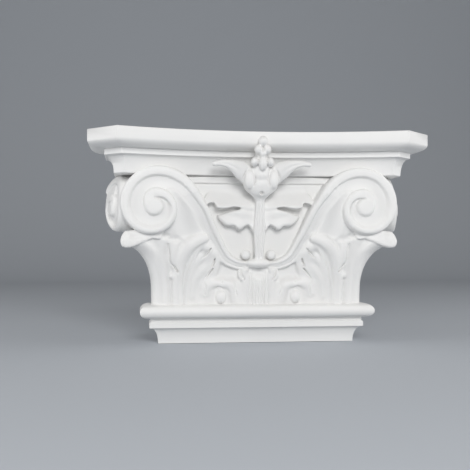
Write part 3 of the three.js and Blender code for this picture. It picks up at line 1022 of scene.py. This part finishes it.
class LeafSheet(Form):
    """The corner leaf's sheet, which its ribs stand on, wrapped round the corner."""

    low = np.array([-124.0, -4.0, 33.0])
    high = np.array([-50.0, 56.0, 109.0])
    outline = Outline([(-130, 30), (-130, 80), (-128, 104), (-108, 105), (-92, 106), (-76, 106), (-62, 107),
                       (-54, 104), (-51.5, 94), (-50.5, 84), (-53, 72), (-59, 58), (-62, 30)])
    corner: float = 7.0
    edge_rounding: float = 3.0
    side_foot: float = 104.5
    side_flare: float = 15.5
    front_foot: float = 31.5
    front_flare: float = 15.4
    front_lean: float = 0.92

    def distance(self, x: Array, t: Array, h: Array) -> Array:
        """Distance to the sheet, which leans out more and more towards its top.

        Args:
            x: Grid lines across.
            t: Grid lines in depth.
            h: Grid lines upwards.

        Returns:
            Distances at all crossings of the lines, negative inside.
        """
        grown = ramp(h, DRAWING.neck_height, 62.0)[None, :]
        side = -x[:, None] - self.side_foot - self.side_flare * grown ** 2.2
        lift = self.front_flare * ramp(h, DRAWING.neck_height, 65.0) ** 1.5
        inward = ramp(x, -76.0, 24.0)
        level = self.front_foot + lift[None, :] * (1.0 - 0.5 * inward[:, None])
        front = (t[None, :, None] - level[:, None, :]) * self.front_lean
        body = soft_max(side[:, None, :], front, self.corner)
        edge = self.outline(x[:, None], h[None, :])[:, None, :]
        return soft_max(body, edge, self.edge_rounding).astype(np.float32)


@dataclass(frozen=True)
class CornerLeaf:
    """Acanthus that wraps the corner and curls out under the volutes."""

    # rows of x, depth, height, half width and half thickness, from the foot up, then the way
    # the broad side looks and the blend
    lobes: tuple[tuple[Rows, Row, float], ...] = (
        # the corner rib, up to the tip
        (((-98.5, 23, 34, 8.5, 8), (-99, 24, 60, 8.5, 8), (-100.5, 27, 72, 9, 8), (-103.5, 31, 82, 10, 7.5),
          (-109, 37, 91, 10.5, 6.5), (-116, 43, 98, 9, 5), (-124, 48, 102.5, 7, 3.5),
          (-130, 51, 103.6, 4.5, 3)), DIAGONAL, 3.0),
        # ribs of the front, from the corner inwards
        (((-99.5, 27, 34, 4.5, 6), (-100, 30, 60, 4.5, 6), (-102.5, 35.5, 80, 5, 6),
          (-107, 39.2, 92, 5.5, 5), (-111, 43, 104, 5.5, 4)), FORWARDS, 3.0),
        (((-92.2, 28, 34, 4.5, 6), (-92.6, 31.2, 60, 4.5, 6.2), (-95, 35.8, 80, 5.5, 6),
          (-98.5, 38.8, 92, 6, 5), (-101, 42, 105, 6, 4)), FORWARDS, 3.0),
        # the lobe that hangs over the slit
        (((-83.5, 36, 76, 3, 4), (-84, 39.5, 82, 5, 5), (-84.6, 42, 90, 6, 5), (-84.4, 43, 98, 5.5, 5),
          (-82, 43.5, 104, 4, 4)), FORWARDS, 1.6),
        # the arched lobe
        (((-81.5, 29, 34, 5, 6), (-81.5, 32, 56, 5.4, 6.4), (-80.2, 36.5, 74, 5.8, 7),
          (-76.6, 41.5, 88, 6.4, 6.5), (-70.4, 45.5, 98, 6.6, 5.5), (-62, 46.5, 104, 6, 4.5),
          (-54, 45.5, 106, 4, 3.2)), FORWARDS, 2.5),
        # the tip of the leaf against the stem
        (((-60, 37, 100, 5, 6), (-52, 37, 97.5, 5.5, 6), (-47.5, 36, 92, 4, 5.4)), FORWARDS, 3.0),
        # the slope from the leaflets down to the bell
        (((-55, 31, 60, 5, 2.5), (-50.5, 32.2, 70, 7.5, 3.8), (-48, 33.2, 80, 9, 5),
          (-49.5, 34.4, 90, 8, 6), (-53, 36, 97, 5, 6)), FORWARDS, 5.0),
        # leaflets that fan out below the arch
        (((-73, 27, 34, 4.5, 6), (-72, 30.5, 58, 4.5, 6.5), (-69.5, 35, 76, 4.5, 6.5),
          (-66, 39, 90, 4.5, 5.5), (-60, 41.5, 99, 3.5, 4), (-55, 41.5, 103, 2.4, 3)), FORWARDS, 2.5),
        (((-70, 30, 60, 4, 5.5), (-67, 33, 74, 4.5, 5.5), (-62, 35.5, 83, 4.5, 4.8), (-56, 37, 88, 4, 3.6),
          (-51.5, 36.5, 89.5, 2.8, 3)), FORWARDS, 2.5),
        (((-67, 28, 48, 4.5, 5.5), (-65, 30.5, 62, 4.5, 5.5), (-60, 33, 71, 4.5, 4.8),
          (-55, 34.5, 76.5, 3.8, 3.6), (-51.8, 34, 80, 2.6, 3)), FORWARDS, 2.5),
        # the side half, plainer
        (((-98, 4, 34, 9, 7), (-99, 5, 60, 9, 7.5), (-102, 7, 80, 9, 7.5), (-108, 9, 94, 9, 6),
          (-114, 10, 102, 6, 3.5)), SIDEWAYS, 2.5),
        (((-99, 14, 34, 7, 6.5), (-99.5, 15.5, 62, 7, 7), (-103, 18, 82, 7.5, 7), (-110, 24, 96, 8, 5.5),
          (-119, 32, 104, 7, 3.5)), SIDEWAYS, 2.5),
    )
    lip: Outline = Outline([
        (-133, 112.6), (-136, 108.5), (-137.4, 103), (-136, 98), (-132, 96.2), (-126.5, 97), (-121, 99),
        (-115, 101.6), (-110, 103.9), (-106.5, 105.3), (-102, 104.7), (-98.6, 105.2), (-96.6, 108.4),
        (-96, 112), (-100, 114.5), (-112, 114), (-122, 113.6)])
    side_lip: Rows = ((-130, 53, 104.6, 5.4, 4), (-128, 44, 106, 5, 4), (-124.5, 32, 108, 5, 3.6),
                      (-121.5, 16, 109.5, 5, 3.4), (-120, -4, 110, 5, 3.4))
    # the two bright drops below the slit
    drops: tuple[tuple[Row, Row], ...] = (((-84.6, 37.4, 69), (2.2, 2.6, 4.6)),
                                          ((-88, 37.2, 68.5), (1.6, 2.0, 3.2)))
    grooves: tuple[Rows, ...] = (
        # under the arched lobe, from the foot to its tip
        ((-74.6, 37.5, 42, 1.2, 1.6), (-75, 39, 56, 1.8, 2.6), (-73.8, 42.5, 70, 2.6, 4.4),
         (-70, 47, 81.5, 3.2, 6.4), (-64.5, 50, 90.8, 3.2, 7.0), (-59, 50.5, 96.6, 2.4, 5.6),
         (-55, 50.5, 98.6, 1.8, 4)),
        # between the corner ribs, and low beside the inner one
        ((-95.6, 38, 42, 1.0, 1.2), (-96, 40, 60, 1.3, 2.2), (-98.6, 45.5, 80, 1.6, 3),
         (-102.5, 52, 94, 1.4, 3.2)),
        ((-88, 38, 42, 1.2, 2.2), (-88.2, 39, 52, 1.5, 2.8), (-88.4, 40, 60, 1.0, 2.0)),
        # between the leaflets
        ((-67.6, 39.5, 48, 1.0, 1.8), (-67.6, 42, 64, 1.5, 2.6), (-64.5, 45, 76, 1.6, 3.0),
         (-59.6, 46, 86, 1.2, 2.8)),
        ((-64, 40.5, 60, 0.9, 2.0), (-60.5, 42, 72, 1.2, 2.6), (-55.5, 42.5, 80, 0.9, 2.2)),
    )
    # the dark pit beside the tooth of the lip, then the hollow above the hanging lobe
    pit: tuple[Row, Row] = ((-92.6, 50.5, 107.6), (4.6, 6.8, 4.2))
    hollow: Rows = ((-91, 50, 102, 2.0, 3.6), (-87.5, 51.4, 104.6, 3.4, 6.2), (-82, 52, 105, 3.4, 6.2),
                    (-76.5, 52, 102, 2.2, 4.6))
    slits: tuple[Rows, ...] = (
        # on the outer side of the hanging lobe, then under it
        ((-91.4, 46, 100, 0.6, 2.4), (-90.8, 45.5, 96, 0.8, 3), (-89.8, 45, 91, 0.8, 3.2),
         (-89.8, 44, 85.5, 0.8, 3)),
        ((-90, 43.2, 84.4, 0.9, 2.8), (-88.2, 42.6, 80.4, 1.2, 3.2), (-84.8, 42.2, 77.4, 1.2, 3.4),
         (-81.4, 41.4, 72.6, 0.9, 2.8)),
        # at the tips of the leaflets
        ((-48.6, 42.8, 95.2, 0.6, 3.2), (-52.8, 42.4, 90.4, 0.9, 3.6), (-57.2, 42.4, 85.6, 0.6, 3)),
        ((-44.4, 37.4, 85, 0.6, 3.6), (-45.4, 38, 81, 1.0, 3.8), (-47, 38, 77.8, 0.6, 3.2)),
        ((-46.2, 36.6, 75.2, 0.6, 3.4), (-49.4, 37.2, 71.2, 1.0, 3.8), (-52.8, 37, 67, 0.8, 3.4),
         (-55.4, 36.6, 63.8, 0.5, 2.6)),
    )

    def carve(self, field: Field) -> None:
        """Adds the sheet, its lobes and the lip, then cuts the grooves and slits.

        Args:
            field: The solid that is carved.
        """
        field.add(LeafSheet(), 2.5)
        for stations, face, blend in self.lobes:
            field.add(Ribbon(stations, face), blend)
        field.add(Panel((-139, 44, 95), (-94, 62, 116), self.lip, self._lip_face, 46.0, 2.6), 1.2)
        field.add(Ribbon(self.side_lip, SIDEWAYS), 2.5)
        for centre, half in self.drops:
            field.add(Egg(centre, half), 1.4)
        for stations in self.grooves:
            field.carve(Ribbon(stations), 1.4)
        field.carve(Egg(*self.pit), 1.4)
        field.carve(Ribbon(self.hollow), 2.2)
        for stations in self.slits:
            field.carve(Ribbon(stations), 1.0)

    @staticmethod
    def _lip_face(x: Array, h: Array) -> Array:
        """Depth of the turned-over edge, from the tip to the tooth beside the front volute.

        Args:
            x: Places across.
            h: Heights.

        Returns:
            Depths at those points.
        """
        tip = ramp(-x, 108.0, 26.0)
        edge = 52.5 + 6.0 * tip
        hollow = swell((h - 107.5) + 0.22 * (x + 132.0), 4.0) * tip
        return edge - hollow - 0.35 * np.clip(h - 104.0, 0.0, 20.0) - 0.02 * np.clip(x + 108, 0, 20) ** 2


@dataclass(frozen=True)
class FootLeaf:
    """Small leaf at the foot, curled over at its top."""

    outline: Outline = Outline([(-61, 56), (-56.5, 62), (-49, 65.3), (-38, 66), (-28, 65.5), (-21.5, 62.5),
                                (-17.5, 55), (-16, 40), (-20, 33), (-58, 33), (-62, 42)])
    curls: tuple[Rows, ...] = (
        ((-54, 32.6, 50, 3, 2.2), (-51, 34.2, 57, 3.6, 2.6), (-45, 35, 60.4, 3.6, 2.6),
         (-38, 35.2, 60, 2.8, 2.2)),
        ((-24, 32, 44, 3, 2.2), (-25, 33.6, 53, 3.6, 2.6), (-29.5, 34.8, 58.6, 3.6, 2.6),
         (-36, 35.2, 60.4, 2.8, 2.2)),
    )
    boss: tuple[Row, Row] = ((-38, 34.4, 47), (5.2, 4.8, 6.6))
    grooves: tuple[Rows, ...] = (
        # over the boss, then down both sides of it
        ((-44.4, 37, 53.4, 0.6, 2.4), (-42.6, 37.6, 55.8, 0.9, 3.8), (-40.4, 37.8, 57, 1.0, 4.2),
         (-37.2, 37.6, 56, 0.9, 3.8), (-32.8, 37, 54, 0.6, 2.4)),
        ((-44, 36.6, 49.5, 0.5, 1.6), (-44.4, 36, 46.5, 0.7, 1.8), (-44.2, 35, 43, 0.5, 1.2)),
        ((-32.4, 36.2, 51, 0.5, 1.6), (-31.8, 35.6, 47, 0.7, 1.8), (-32, 34.8, 43, 0.5, 1.2)),
        # the notch at the top, then the folds near both edges
        ((-37.2, 38, 65, 0.7, 1.4), (-37, 38.2, 61.5, 0.8, 1.6)),
        ((-55, 36.4, 62.5, 0.6, 1.4), (-53, 36.6, 56, 0.9, 1.8), (-53.2, 35.6, 49, 0.6, 1.4)),
        ((-22.6, 35.8, 60.5, 0.6, 1.4), (-23.4, 36, 55, 0.8, 1.6), (-21.8, 35, 49, 0.6, 1.4)),
    )

    def carve(self, field: Field) -> None:
        """Adds the mound, its curls and its boss, then cuts the grooves.

        Args:
            field: The solid that is carved.
        """
        field.add(Panel((-64, 26, 33), (-14, 42, 69), self.outline, self._face, 26.0, 5.0), 4.0)
        for stations in self.curls:
            field.add(Ribbon(stations), 3.5)
        field.add(Egg(*self.boss), 1.2)
        for stations in self.grooves:
            field.carve(Ribbon(stations), 0.9)

    @staticmethod
    def _face(x: Array, h: Array) -> Array:
        """Depth of the ribbed mound.

        Args:
            x: Places across.
            h: Heights.

        Returns:
            Depths at those points.
        """
        across = (x + 40.0) / 22.0
        dome = np.sqrt(np.clip(1.0 - np.abs(across) ** 2.6, 0.0, 1.0))
        lift = ramp(h, 36.0, 28.0)
        ribs = 0.6 * np.cos((x + 37.0) / (5.2 + 2.0 * (1 - lift)) * math.pi)
        return 31.2 + 3.4 * dome * (0.4 + 0.6 * lift) + ribs * (0.3 + 0.7 * lift)


@dataclass(frozen=True)
class CentreLeaf:
    """The pair of leaves that spread from the stem, left one."""

    lower: Outline = Outline([
        (-2, 110), (-7, 113.5), (-9, 117), (-11.5, 118.8), (-15, 117.3), (-18.5, 114.6), (-21.5, 115),
        (-24.5, 117.6), (-28, 118.3), (-32, 118.2), (-36, 120.3), (-40.5, 125), (-41.5, 128.6),
        (-37, 129.5), (-31, 131.8), (-24, 133.6), (-14, 135.5), (-2, 136)])
    upper: Outline = Outline([
        (-2, 134), (-14, 135), (-21, 136.8), (-27, 136.9), (-33.6, 135.4), (-40.5, 135.4), (-43.8, 137),
        (-45, 140.4), (-47.6, 141.2), (-51, 140.2), (-56.6, 136.8), (-56.8, 139.8), (-55, 145),
        (-51, 151), (-42, 157), (-25, 159), (-12, 159), (-2, 158)])
    back: float = 28.0
    veins: tuple[Rows, ...] = (
        ((-12, 43.5, 126, 0.7, 1.2), (-20, 45, 124, 1.0, 1.6), (-30, 45.2, 123.5, 1.0, 1.6),
         (-38, 44, 125.5, 0.7, 1.2)),
        ((-13, 43.6, 122, 0.6, 1.1), (-17, 45, 118.5, 0.8, 1.4), (-19, 44.6, 116, 0.6, 1.2)),
    )

    def carve(self, field: Field) -> None:
        """Adds the lower lobe and the upper lobe with its curled tip.

        Args:
            field: The solid that is carved.
        """
        field.add(Panel((-44, self.back, 108), (0, 52, 137), self.lower, self._lower_face,
                        self.back, 3.0), 1.0)
        field.add(Panel((-60, self.back, 132), (0, 56, 160), self.upper, self._upper_face,
                        self.back, 2.0), 2.5)
        for stations in self.veins:
            field.carve(Ribbon(stations), 1.2)

    @staticmethod
    def _lower_face(x: Array, h: Array) -> Array:
        """Depth of the lower lobe, bulging and finely ribbed.

        Args:
            x: Places across.
            h: Heights.

        Returns:
            Depths at those points.
        """
        out = ramp(-x, 0.0, 42.0)
        ribs = 0.7 * np.cos((h - 113.0 + 0.25 * x) / 3.6 * math.pi * 0.5)
        return 40.5 + 2.5 * np.sin(out * math.pi) - 0.06 * (h - 120.0) + ribs * np.sin(out * math.pi)

    @staticmethod
    def _upper_face(x: Array, h: Array) -> Array:
        """Depth of the upper lobe, which falls back towards its top.

        Args:
            x: Places across.
            h: Heights.

        Returns:
            Depths at those points.
        """
        fall = np.clip((h - 137.5) / 19.0, 0.0, 1.2)
        out = ramp(-x, 0.0, 57.0)
        return 41.5 + 7.0 * out ** 1.3 - (10.0 + 7.0 * out) * fall ** 0.9


@dataclass(frozen=True)
class Flower:
    """Stalk, collar, stem, calyx with petals, buds and berries on the middle line."""

    flutes: tuple[float, ...] = (-1.6, -4.6, -7.6)
    berry_growth: float = 1.08
    # centres and half sizes, from the top down
    berries: tuple[tuple[Row, Row], ...] = (
        ((0, 66.4, 199.8), (4.3, 5.6, 4.7)), ((-4.2, 64.5, 191.8), (3.7, 5.6, 4.4)),
        ((0, 66, 187.6), (2.8, 4.6, 3.2)), ((-7.6, 61.5, 180), (3.5, 5.6, 4.2)),
        ((0, 64.5, 178.5), (3.8, 6.0, 6.6)))

    def carve(self, field: Field) -> None:
        """Adds everything from the foot up.

        Args:
            field: The solid that is carved.
        """
        self._stalk(field)
        self._collar(field)
        self._stem(field)
        self._head(field)

    def _stalk(self, field: Field) -> None:
        """Fluted stalk and the sheath beside it.

        Args:
            field: The solid that is carved.
        """
        field.add(Ribbon([(0, 27.4, 34, 14, 5.6), (0, 30.2, 54, 12.6, 5.6), (0, 31.6, 72, 12, 4.6)]), 3.0)
        field.add(Ribbon([(-16.5, 28, 34, 6, 4.4), (-17, 29.4, 48, 6, 4.4), (-17, 30, 60, 4, 3.4)]), 4.0)
        for x in self.flutes:
            field.add(Ribbon([(x, 30.4, 34, 1.2, 3.4), (x, 33.4, 52, 1.2, 3.4),
                              (x, 34.2, 72, 1.2, 3)]), 0.9)
        field.add(Ribbon([(-12.5, 26.8, 34, 3.6, 5.5), (-12.6, 30, 52, 3.6, 5.5),
                          (-13.4, 32.8, 64, 3.8, 4.4), (-14.8, 34.6, 71, 3.8, 3.4)]), 3.0)

    @staticmethod
    def _collar(field: Field) -> None:
        """The hollow under the collar, the curl beside it, the collar and the bud at its end.

        Args:
            field: The solid that is carved.
        """
        field.carve(Egg((0, 45, 72.6), (10.6, 13.2, 8.4)), 3.0)
        field.add(Ribbon([(-19.4, 33, 72, 1.5, 3), (-18.8, 34.2, 68.4, 2.0, 3),
                          (-17, 34.6, 64.8, 1.8, 2.8)]), 1.8)
        field.add(Egg((-13.8, 35.8, 73.6), (3.4, 2.8, 2.6)), 1.4)
        field.carve(Ribbon([(-17.6, 36.6, 73.4, 0.5, 1.8), (-17.2, 37.2, 70, 0.8, 2.4),
                            (-15.8, 37, 66.8, 0.8, 2.2), (-14.2, 36.2, 64, 0.5, 1.6)]), 1.0)
        field.add(Egg((0, 37.5, 80.8), (12.2, 7.0, 4.8)), 2.0)
        field.carve(Egg((0, 45.5, 86.5), (8.6, 4.0, 3.0)), 1.6)
        field.add(Egg((-12.8, 35.2, 89.4), (5.2, 4.0, 5.0)), 1.8)
        field.carve(Egg((-12.6, 40, 89.6), (2.0, 1.4, 2.0)), 1.4)

    @staticmethod
    def _stem(field: Field) -> None:
        """Upright stem with a middle rib and two side ribs.

        Args:
            field: The solid that is carved.
        """
        field.add(Ribbon([(0, 33, 82, 3.8, 5), (0, 36, 96, 4.6, 6), (0, 38, 112, 5.4, 7),
                          (0, 39, 126, 4.6, 8), (0, 40, 142, 4.0, 8), (0, 42, 152, 5.5, 8)]), 3.0)
        field.add(Ribbon([(-2.6, 38, 82, 1.3, 2.4), (-3.2, 41, 98, 1.5, 2.6), (-4.2, 43, 113, 1.7, 2.8),
                          (-3.4, 44.8, 128, 1.5, 2.8), (-2.9, 46.5, 142, 1.5, 2.8),
                          (-5, 48.5, 151, 2.4, 3)]), 1.0)
        field.add(Ribbon([(0, 39, 82, 1.1, 2.6), (0, 42.2, 98, 1.3, 2.6), (0, 44.4, 114, 1.5, 2.8),
                          (0, 46, 130, 1.3, 2.8), (0, 47.6, 144, 1.4, 2.8)]), 1.0)

    def _head(self, field: Field) -> None:
        """Calyx, petals with their folds, buds and berries.

        Args:
            field: The solid that is carved.
        """
        field.add(Egg((0, 50, 159), (17.2, 10.5, 11.4)), 1.0)
        field.add(Egg((0, 48, 153), (9.5, 9.5, 8.0)), 3.5)
        field.add(Egg((0, 52, 171), (12, 8.5, 8)), 2.0)
        field.add(Ribbon([(-10, 49.5, 161, 6, 6), (-15, 52.5, 168, 8.6, 5.2), (-20.5, 55, 172.8, 8.8, 4.4),
                          (-27, 57.2, 176.2, 6.4, 3.8), (-33.5, 58.8, 178.2, 4.3, 3.2),
                          (-40, 60, 178.8, 3.1, 2.8), (-47, 60.5, 177.8, 2.3, 2.4)],
                         (-0.35, 1.0, 0.2)), 1.5)
        field.carve(Ribbon([(-17.6, 60.6, 163, 0.8, 1.8), (-20.6, 61.6, 169.5, 1.5, 2.4),
                            (-26, 62.4, 174, 1.5, 2.4), (-33, 62.8, 177.2, 1.0, 1.8),
                            (-40, 63, 178.8, 0.5, 1.0)]), 1.6)
        field.add(Egg((-12, 56.2, 163.4), (5.3, 5.4, 9.6)), 0.5)
        field.add(Egg((0, 56.2, 160.0), (6.2, 5.2, 6.8)), 1.0)
        field.carve(Ribbon([(-7.4, 60.8, 173, 0.6, 2.6), (-6.4, 60.6, 165, 0.9, 3.2),
                            (-7.8, 59.6, 157, 0.5, 2.2)]), 0.8)
        field.carve(Ribbon([(-14.4, 60.4, 173.5, 0.6, 2.4), (-17.6, 58.6, 166, 0.9, 3.2),
                            (-17.4, 56.8, 159, 0.8, 3.0), (-14.4, 56.4, 153.4, 0.5, 2.0)]), 0.8)
        field.carve(Egg((0, 58.5, 149.8), (2.0, 5.4, 1.8)), 0.8)
        field.add(Ribbon([(0, 54, 168, 8, 9), (0, 54.5, 181, 7, 8), (0, 56.6, 194, 4.5, 8),
                          (0, 60, 201, 2.5, 5)]), 1.2)
        for centre, half in self.berries:
            field.add(Egg(centre, [self.berry_growth * size for size in half]), 1.2)


@dataclass(frozen=True)
class WhiteCasting:
    """Matt white primed foam with a faint cloudiness in tone and gloss."""

    name: str = "white_casting"
    light: tuple[float, float, float, float] = (0.86, 0.855, 0.84, 1.0)
    shade: tuple[float, float, float, float] = (0.80, 0.795, 0.785, 1.0)
    roughness: tuple[float, float] = (0.48, 0.60)
    specular: float = 0.4
    cloud_scale: float = 14.0
    cloud_detail: float = 5.0
    grain_scale: float = 900.0
    grain_detail: float = 2.0
    grain_strength: float = 0.15
    grain_height: float = 0.05

    @staticmethod
    def _noise(tree: bpy.types.NodeTree, scale: float, detail: float) -> bpy.types.Node:
        """Adds a noise to the finish.

        Args:
            tree: Node tree of the material.
            scale: How fine the noise is.
            detail: How many finer layers it has.

        Returns:
            The noise node.
        """
        noise = tree.nodes.new("ShaderNodeTexNoise")
        noise.inputs["Scale"].default_value = scale
        noise.inputs["Detail"].default_value = detail
        return noise

    def build(self) -> bpy.types.Material:
        """Makes the material.

        Returns:
            The material, ready to be put on the casting.
        """
        material = bpy.data.materials.new(self.name)
        material.use_nodes = True
        tree = material.node_tree
        shader = tree.nodes["Principled BSDF"]
        place = tree.nodes.new("ShaderNodeTexCoord")
        cloud = self._noise(tree, self.cloud_scale, self.cloud_detail)
        tone = tree.nodes.new("ShaderNodeMix")
        tone.data_type = "RGBA"
        tone.inputs[6].default_value = self.shade
        tone.inputs[7].default_value = self.light
        gloss = tree.nodes.new("ShaderNodeMapRange")
        gloss.inputs["To Min"].default_value = self.roughness[0]
        gloss.inputs["To Max"].default_value = self.roughness[1]
        grain = self._noise(tree, self.grain_scale, self.grain_detail)
        bump = tree.nodes.new("ShaderNodeBump")
        bump.inputs["Strength"].default_value = self.grain_strength
        bump.inputs["Distance"].default_value = self.grain_height * MM
        link = tree.links.new
        link(place.outputs["Object"], cloud.inputs["Vector"])
        link(place.outputs["Object"], grain.inputs["Vector"])
        link(cloud.outputs["Fac"], tone.inputs["Factor"])
        link(tone.outputs[2], shader.inputs["Base Color"])
        link(cloud.outputs["Fac"], gloss.inputs["Value"])
        link(gloss.outputs["Result"], shader.inputs["Roughness"])
        link(grain.outputs["Fac"], bump.inputs["Height"])
        link(bump.outputs["Normal"], shader.inputs["Normal"])
        shader.inputs["Specular IOR Level"].default_value = self.specular
        return material


@dataclass
class Casting:
    """The whole capital: mouldings and carving joined into one closed mesh."""

    cell: float = 0.8
    low: Row = (-156.0, -4.0, 33.0)
    high: Row = (0.0, 76.0, 209.0)
    triangle_limit: int = 190000
    sharp_angle: float = 42.0

    def carving(self) -> bpy.types.Object:
        """Carves the solid field and skins it.

        Returns:
            The closed carving, without its mouldings.
        """
        field = Field(self.cell, self.low, self.high)
        for part in (Bell(), Stem(), Volute(Side.FRONT), Volute(Side.RETURN), CornerLeaf(), FootLeaf(),
                     CentreLeaf(), Flower()):
            part.carve(field)
            log.info("carved %s", type(part).__name__)
        return field.to_mesh("carving")

    def build(self) -> bpy.types.Object:
        """Joins everything, cuts the flat back and thins the mesh.

        Returns:
            The finished casting.
        """
        piece = self.carving()
        log.info("carving has %d faces", len(piece.data.polygons))
        mouldings = Mouldings().build()
        wall = self._wall()
        for other in mouldings:
            self._boolean(piece, other, "UNION")
        self._boolean(piece, wall, "DIFFERENCE")
        apply_modifiers(piece)
        for tool in (*mouldings, wall):
            bpy.data.objects.remove(tool, do_unlink=True)
        triangles = sum(len(p.vertices) - 2 for p in piece.data.polygons)
        log.info("joined casting has %d triangles", triangles)
        if triangles > self.triangle_limit:
            thin = piece.modifiers.new("thin", "DECIMATE")
            thin.ratio = self.triangle_limit / triangles
            apply_modifiers(piece)
        smooth_faces(piece)
        piece.data.set_sharp_from_angle(angle=math.radians(self.sharp_angle))
        piece.name = "capital_casting"
        piece.data.materials.clear()
        piece.data.materials.append(WhiteCasting().build())
        return piece

    @staticmethod
    def _boolean(piece: bpy.types.Object, other: bpy.types.Object, kind: str) -> None:
        """Joins another object to a piece or cuts it out, once the modifiers are applied.

        Args:
            piece: The object that is changed.
            other: The object that is joined or cut out.
            kind: UNION or DIFFERENCE.
        """
        step = piece.modifiers.new(other.name, "BOOLEAN")
        step.object = other
        step.operation = kind
        step.solver = "MANIFOLD"

    @staticmethod
    def _wall() -> bpy.types.Object:
        """Block behind the flat back.

        Returns:
            The block, which cuts off what reaches behind the wall's plane.
        """
        points = np.array([(x, t, h) for h in (-20.0, 230.0) for t in (-20.0, 0.0)
                           for x in (-200.0, 200.0)])
        faces = [(0, 1, 3, 2), (4, 6, 7, 5), (0, 4, 5, 1), (2, 3, 7, 6), (0, 2, 6, 4), (1, 5, 7, 3)]
        return link_mesh("wall_block", DRAWING.to_metres(points), faces)


@dataclass
class Studio:
    """Floor, backdrop, lights and camera."""

    floor_height: float = -0.1055
    floor_front: float = -3.0
    floor_half: float = 5.0
    sweep_start: float = 1.4
    sweep_radius: float = 0.8
    backdrop_height: float = 3.0
    floor_color: tuple[float, float, float, float] = (0.50, 0.53, 0.57, 1.0)
    floor_roughness: float = 0.9
    # name, place, length of the side in metres and power in watts
    lights: tuple[tuple[str, Row, float, float], ...] = (
        ("key", (0.0, -1.6, 0.6), 0.6, 15.0),
        ("fill_left", (-1.4, -0.3, 0.2), 0.9, 8.0),
        ("fill_right", (1.4, -0.3, 0.2), 0.9, 8.0),
    )
    light_aim: tuple[float, float, float] = (0.0, -0.03, 0.0)
    sky_color: tuple[float, float, float, float] = (1.0, 0.99, 0.98, 1.0)
    sky_strength: float = 0.28
    # the camera's angles in degrees, its distance and target in metres and its lens in pixels
    azimuth: float = -7.0
    elevation: float = -0.9
    distance: float = 0.8
    target: tuple[float, float, float] = (-0.0243, -0.04, 0.004)
    focal_pixels: float = 801.0
    image: int = 470
    sensor: float = 36.0

    def build(self) -> None:
        """Sets the stage."""
        self._floor()
        self._lights()
        self._camera()

    def _floor(self) -> None:
        """A pale floor that sweeps up into a backdrop far behind."""
        start, radius = self.sweep_start, self.sweep_radius
        profile = [(self.floor_front, 0.0), (start, 0.0)]
        for a in np.linspace(0.0, math.pi / 2, 17)[1:]:
            profile.append((start + radius * math.sin(a), radius * (1 - math.cos(a))))
        profile.append((start + radius, self.backdrop_height))
        points = np.array([(x, y, z + self.floor_height) for y, z in profile
                           for x in (-self.floor_half, self.floor_half)])
        faces = [(2 * i, 2 * i + 1, 2 * i + 3, 2 * i + 2) for i in range(len(profile) - 1)]
        floor = link_mesh("floor", points, faces)
        smooth_faces(floor)
        material = bpy.data.materials.new("pale_floor")
        material.use_nodes = True
        shader = material.node_tree.nodes["Principled BSDF"]
        shader.inputs["Base Color"].default_value = self.floor_color
        shader.inputs["Roughness"].default_value = self.floor_roughness
        floor.data.materials.append(material)

    def _light(self, name: str, place: Row, size: float, power: float) -> None:
        """A square soft light aimed at the capital.

        Args:
            name: Name of the light.
            place: Where it stands, in metres.
            size: Length of its side in metres.
            power: Its power in watts.
        """
        lamp = bpy.data.lights.new(name, "AREA")
        lamp.energy = power
        lamp.size = size
        light = bpy.data.objects.new(name, lamp)
        light.location = place
        light.rotation_euler = self._look(np.array(self.light_aim) - np.array(place))
        bpy.context.scene.collection.objects.link(light)

    @staticmethod
    def _look(direction: Array) -> Euler:
        """Rotation that turns -Z along a direction with +Y up."""
        return Vector(tuple(direction)).to_track_quat("-Z", "Y").to_euler()

    def _lights(self) -> None:
        """Key from above in front, fills from the sides and a soft world."""
        for name, place, size, power in self.lights:
            self._light(name, place, size, power)
        world = bpy.data.worlds.new("studio")
        world.use_nodes = True
        sky = world.node_tree.nodes["Background"]
        sky.inputs["Color"].default_value = self.sky_color
        sky.inputs["Strength"].default_value = self.sky_strength
        bpy.context.scene.world = world
        bpy.context.scene.view_settings.view_transform = "Standard"

    def _camera(self) -> None:
        """Camera at the photograph's angle."""
        a, e = math.radians(self.azimuth), math.radians(self.elevation)
        away = np.array([math.sin(a) * math.cos(e), -math.cos(a) * math.cos(e), math.sin(e)])
        target = np.array(self.target)
        lens = bpy.data.cameras.new("camera")
        lens.sensor_fit = "HORIZONTAL"
        lens.sensor_width = self.sensor
        lens.lens = self.focal_pixels * self.sensor / self.image
        camera = bpy.data.objects.new("camera", lens)
        camera.location = tuple(target + away * self.distance)
        camera.rotation_euler = self._look(-away)
        bpy.context.scene.collection.objects.link(camera)
        bpy.context.scene.camera = camera


def main() -> None:
    """Builds the capital and its studio."""
    logging.basicConfig(level=logging.INFO, format="%(name)s: %(message)s")
    casting = Casting().build()
    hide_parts(NODE)
    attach(casting, "root")
    log.info("%s rides on root", casting.name)
    Studio().build()


if __name__ == "__main__":
    main()
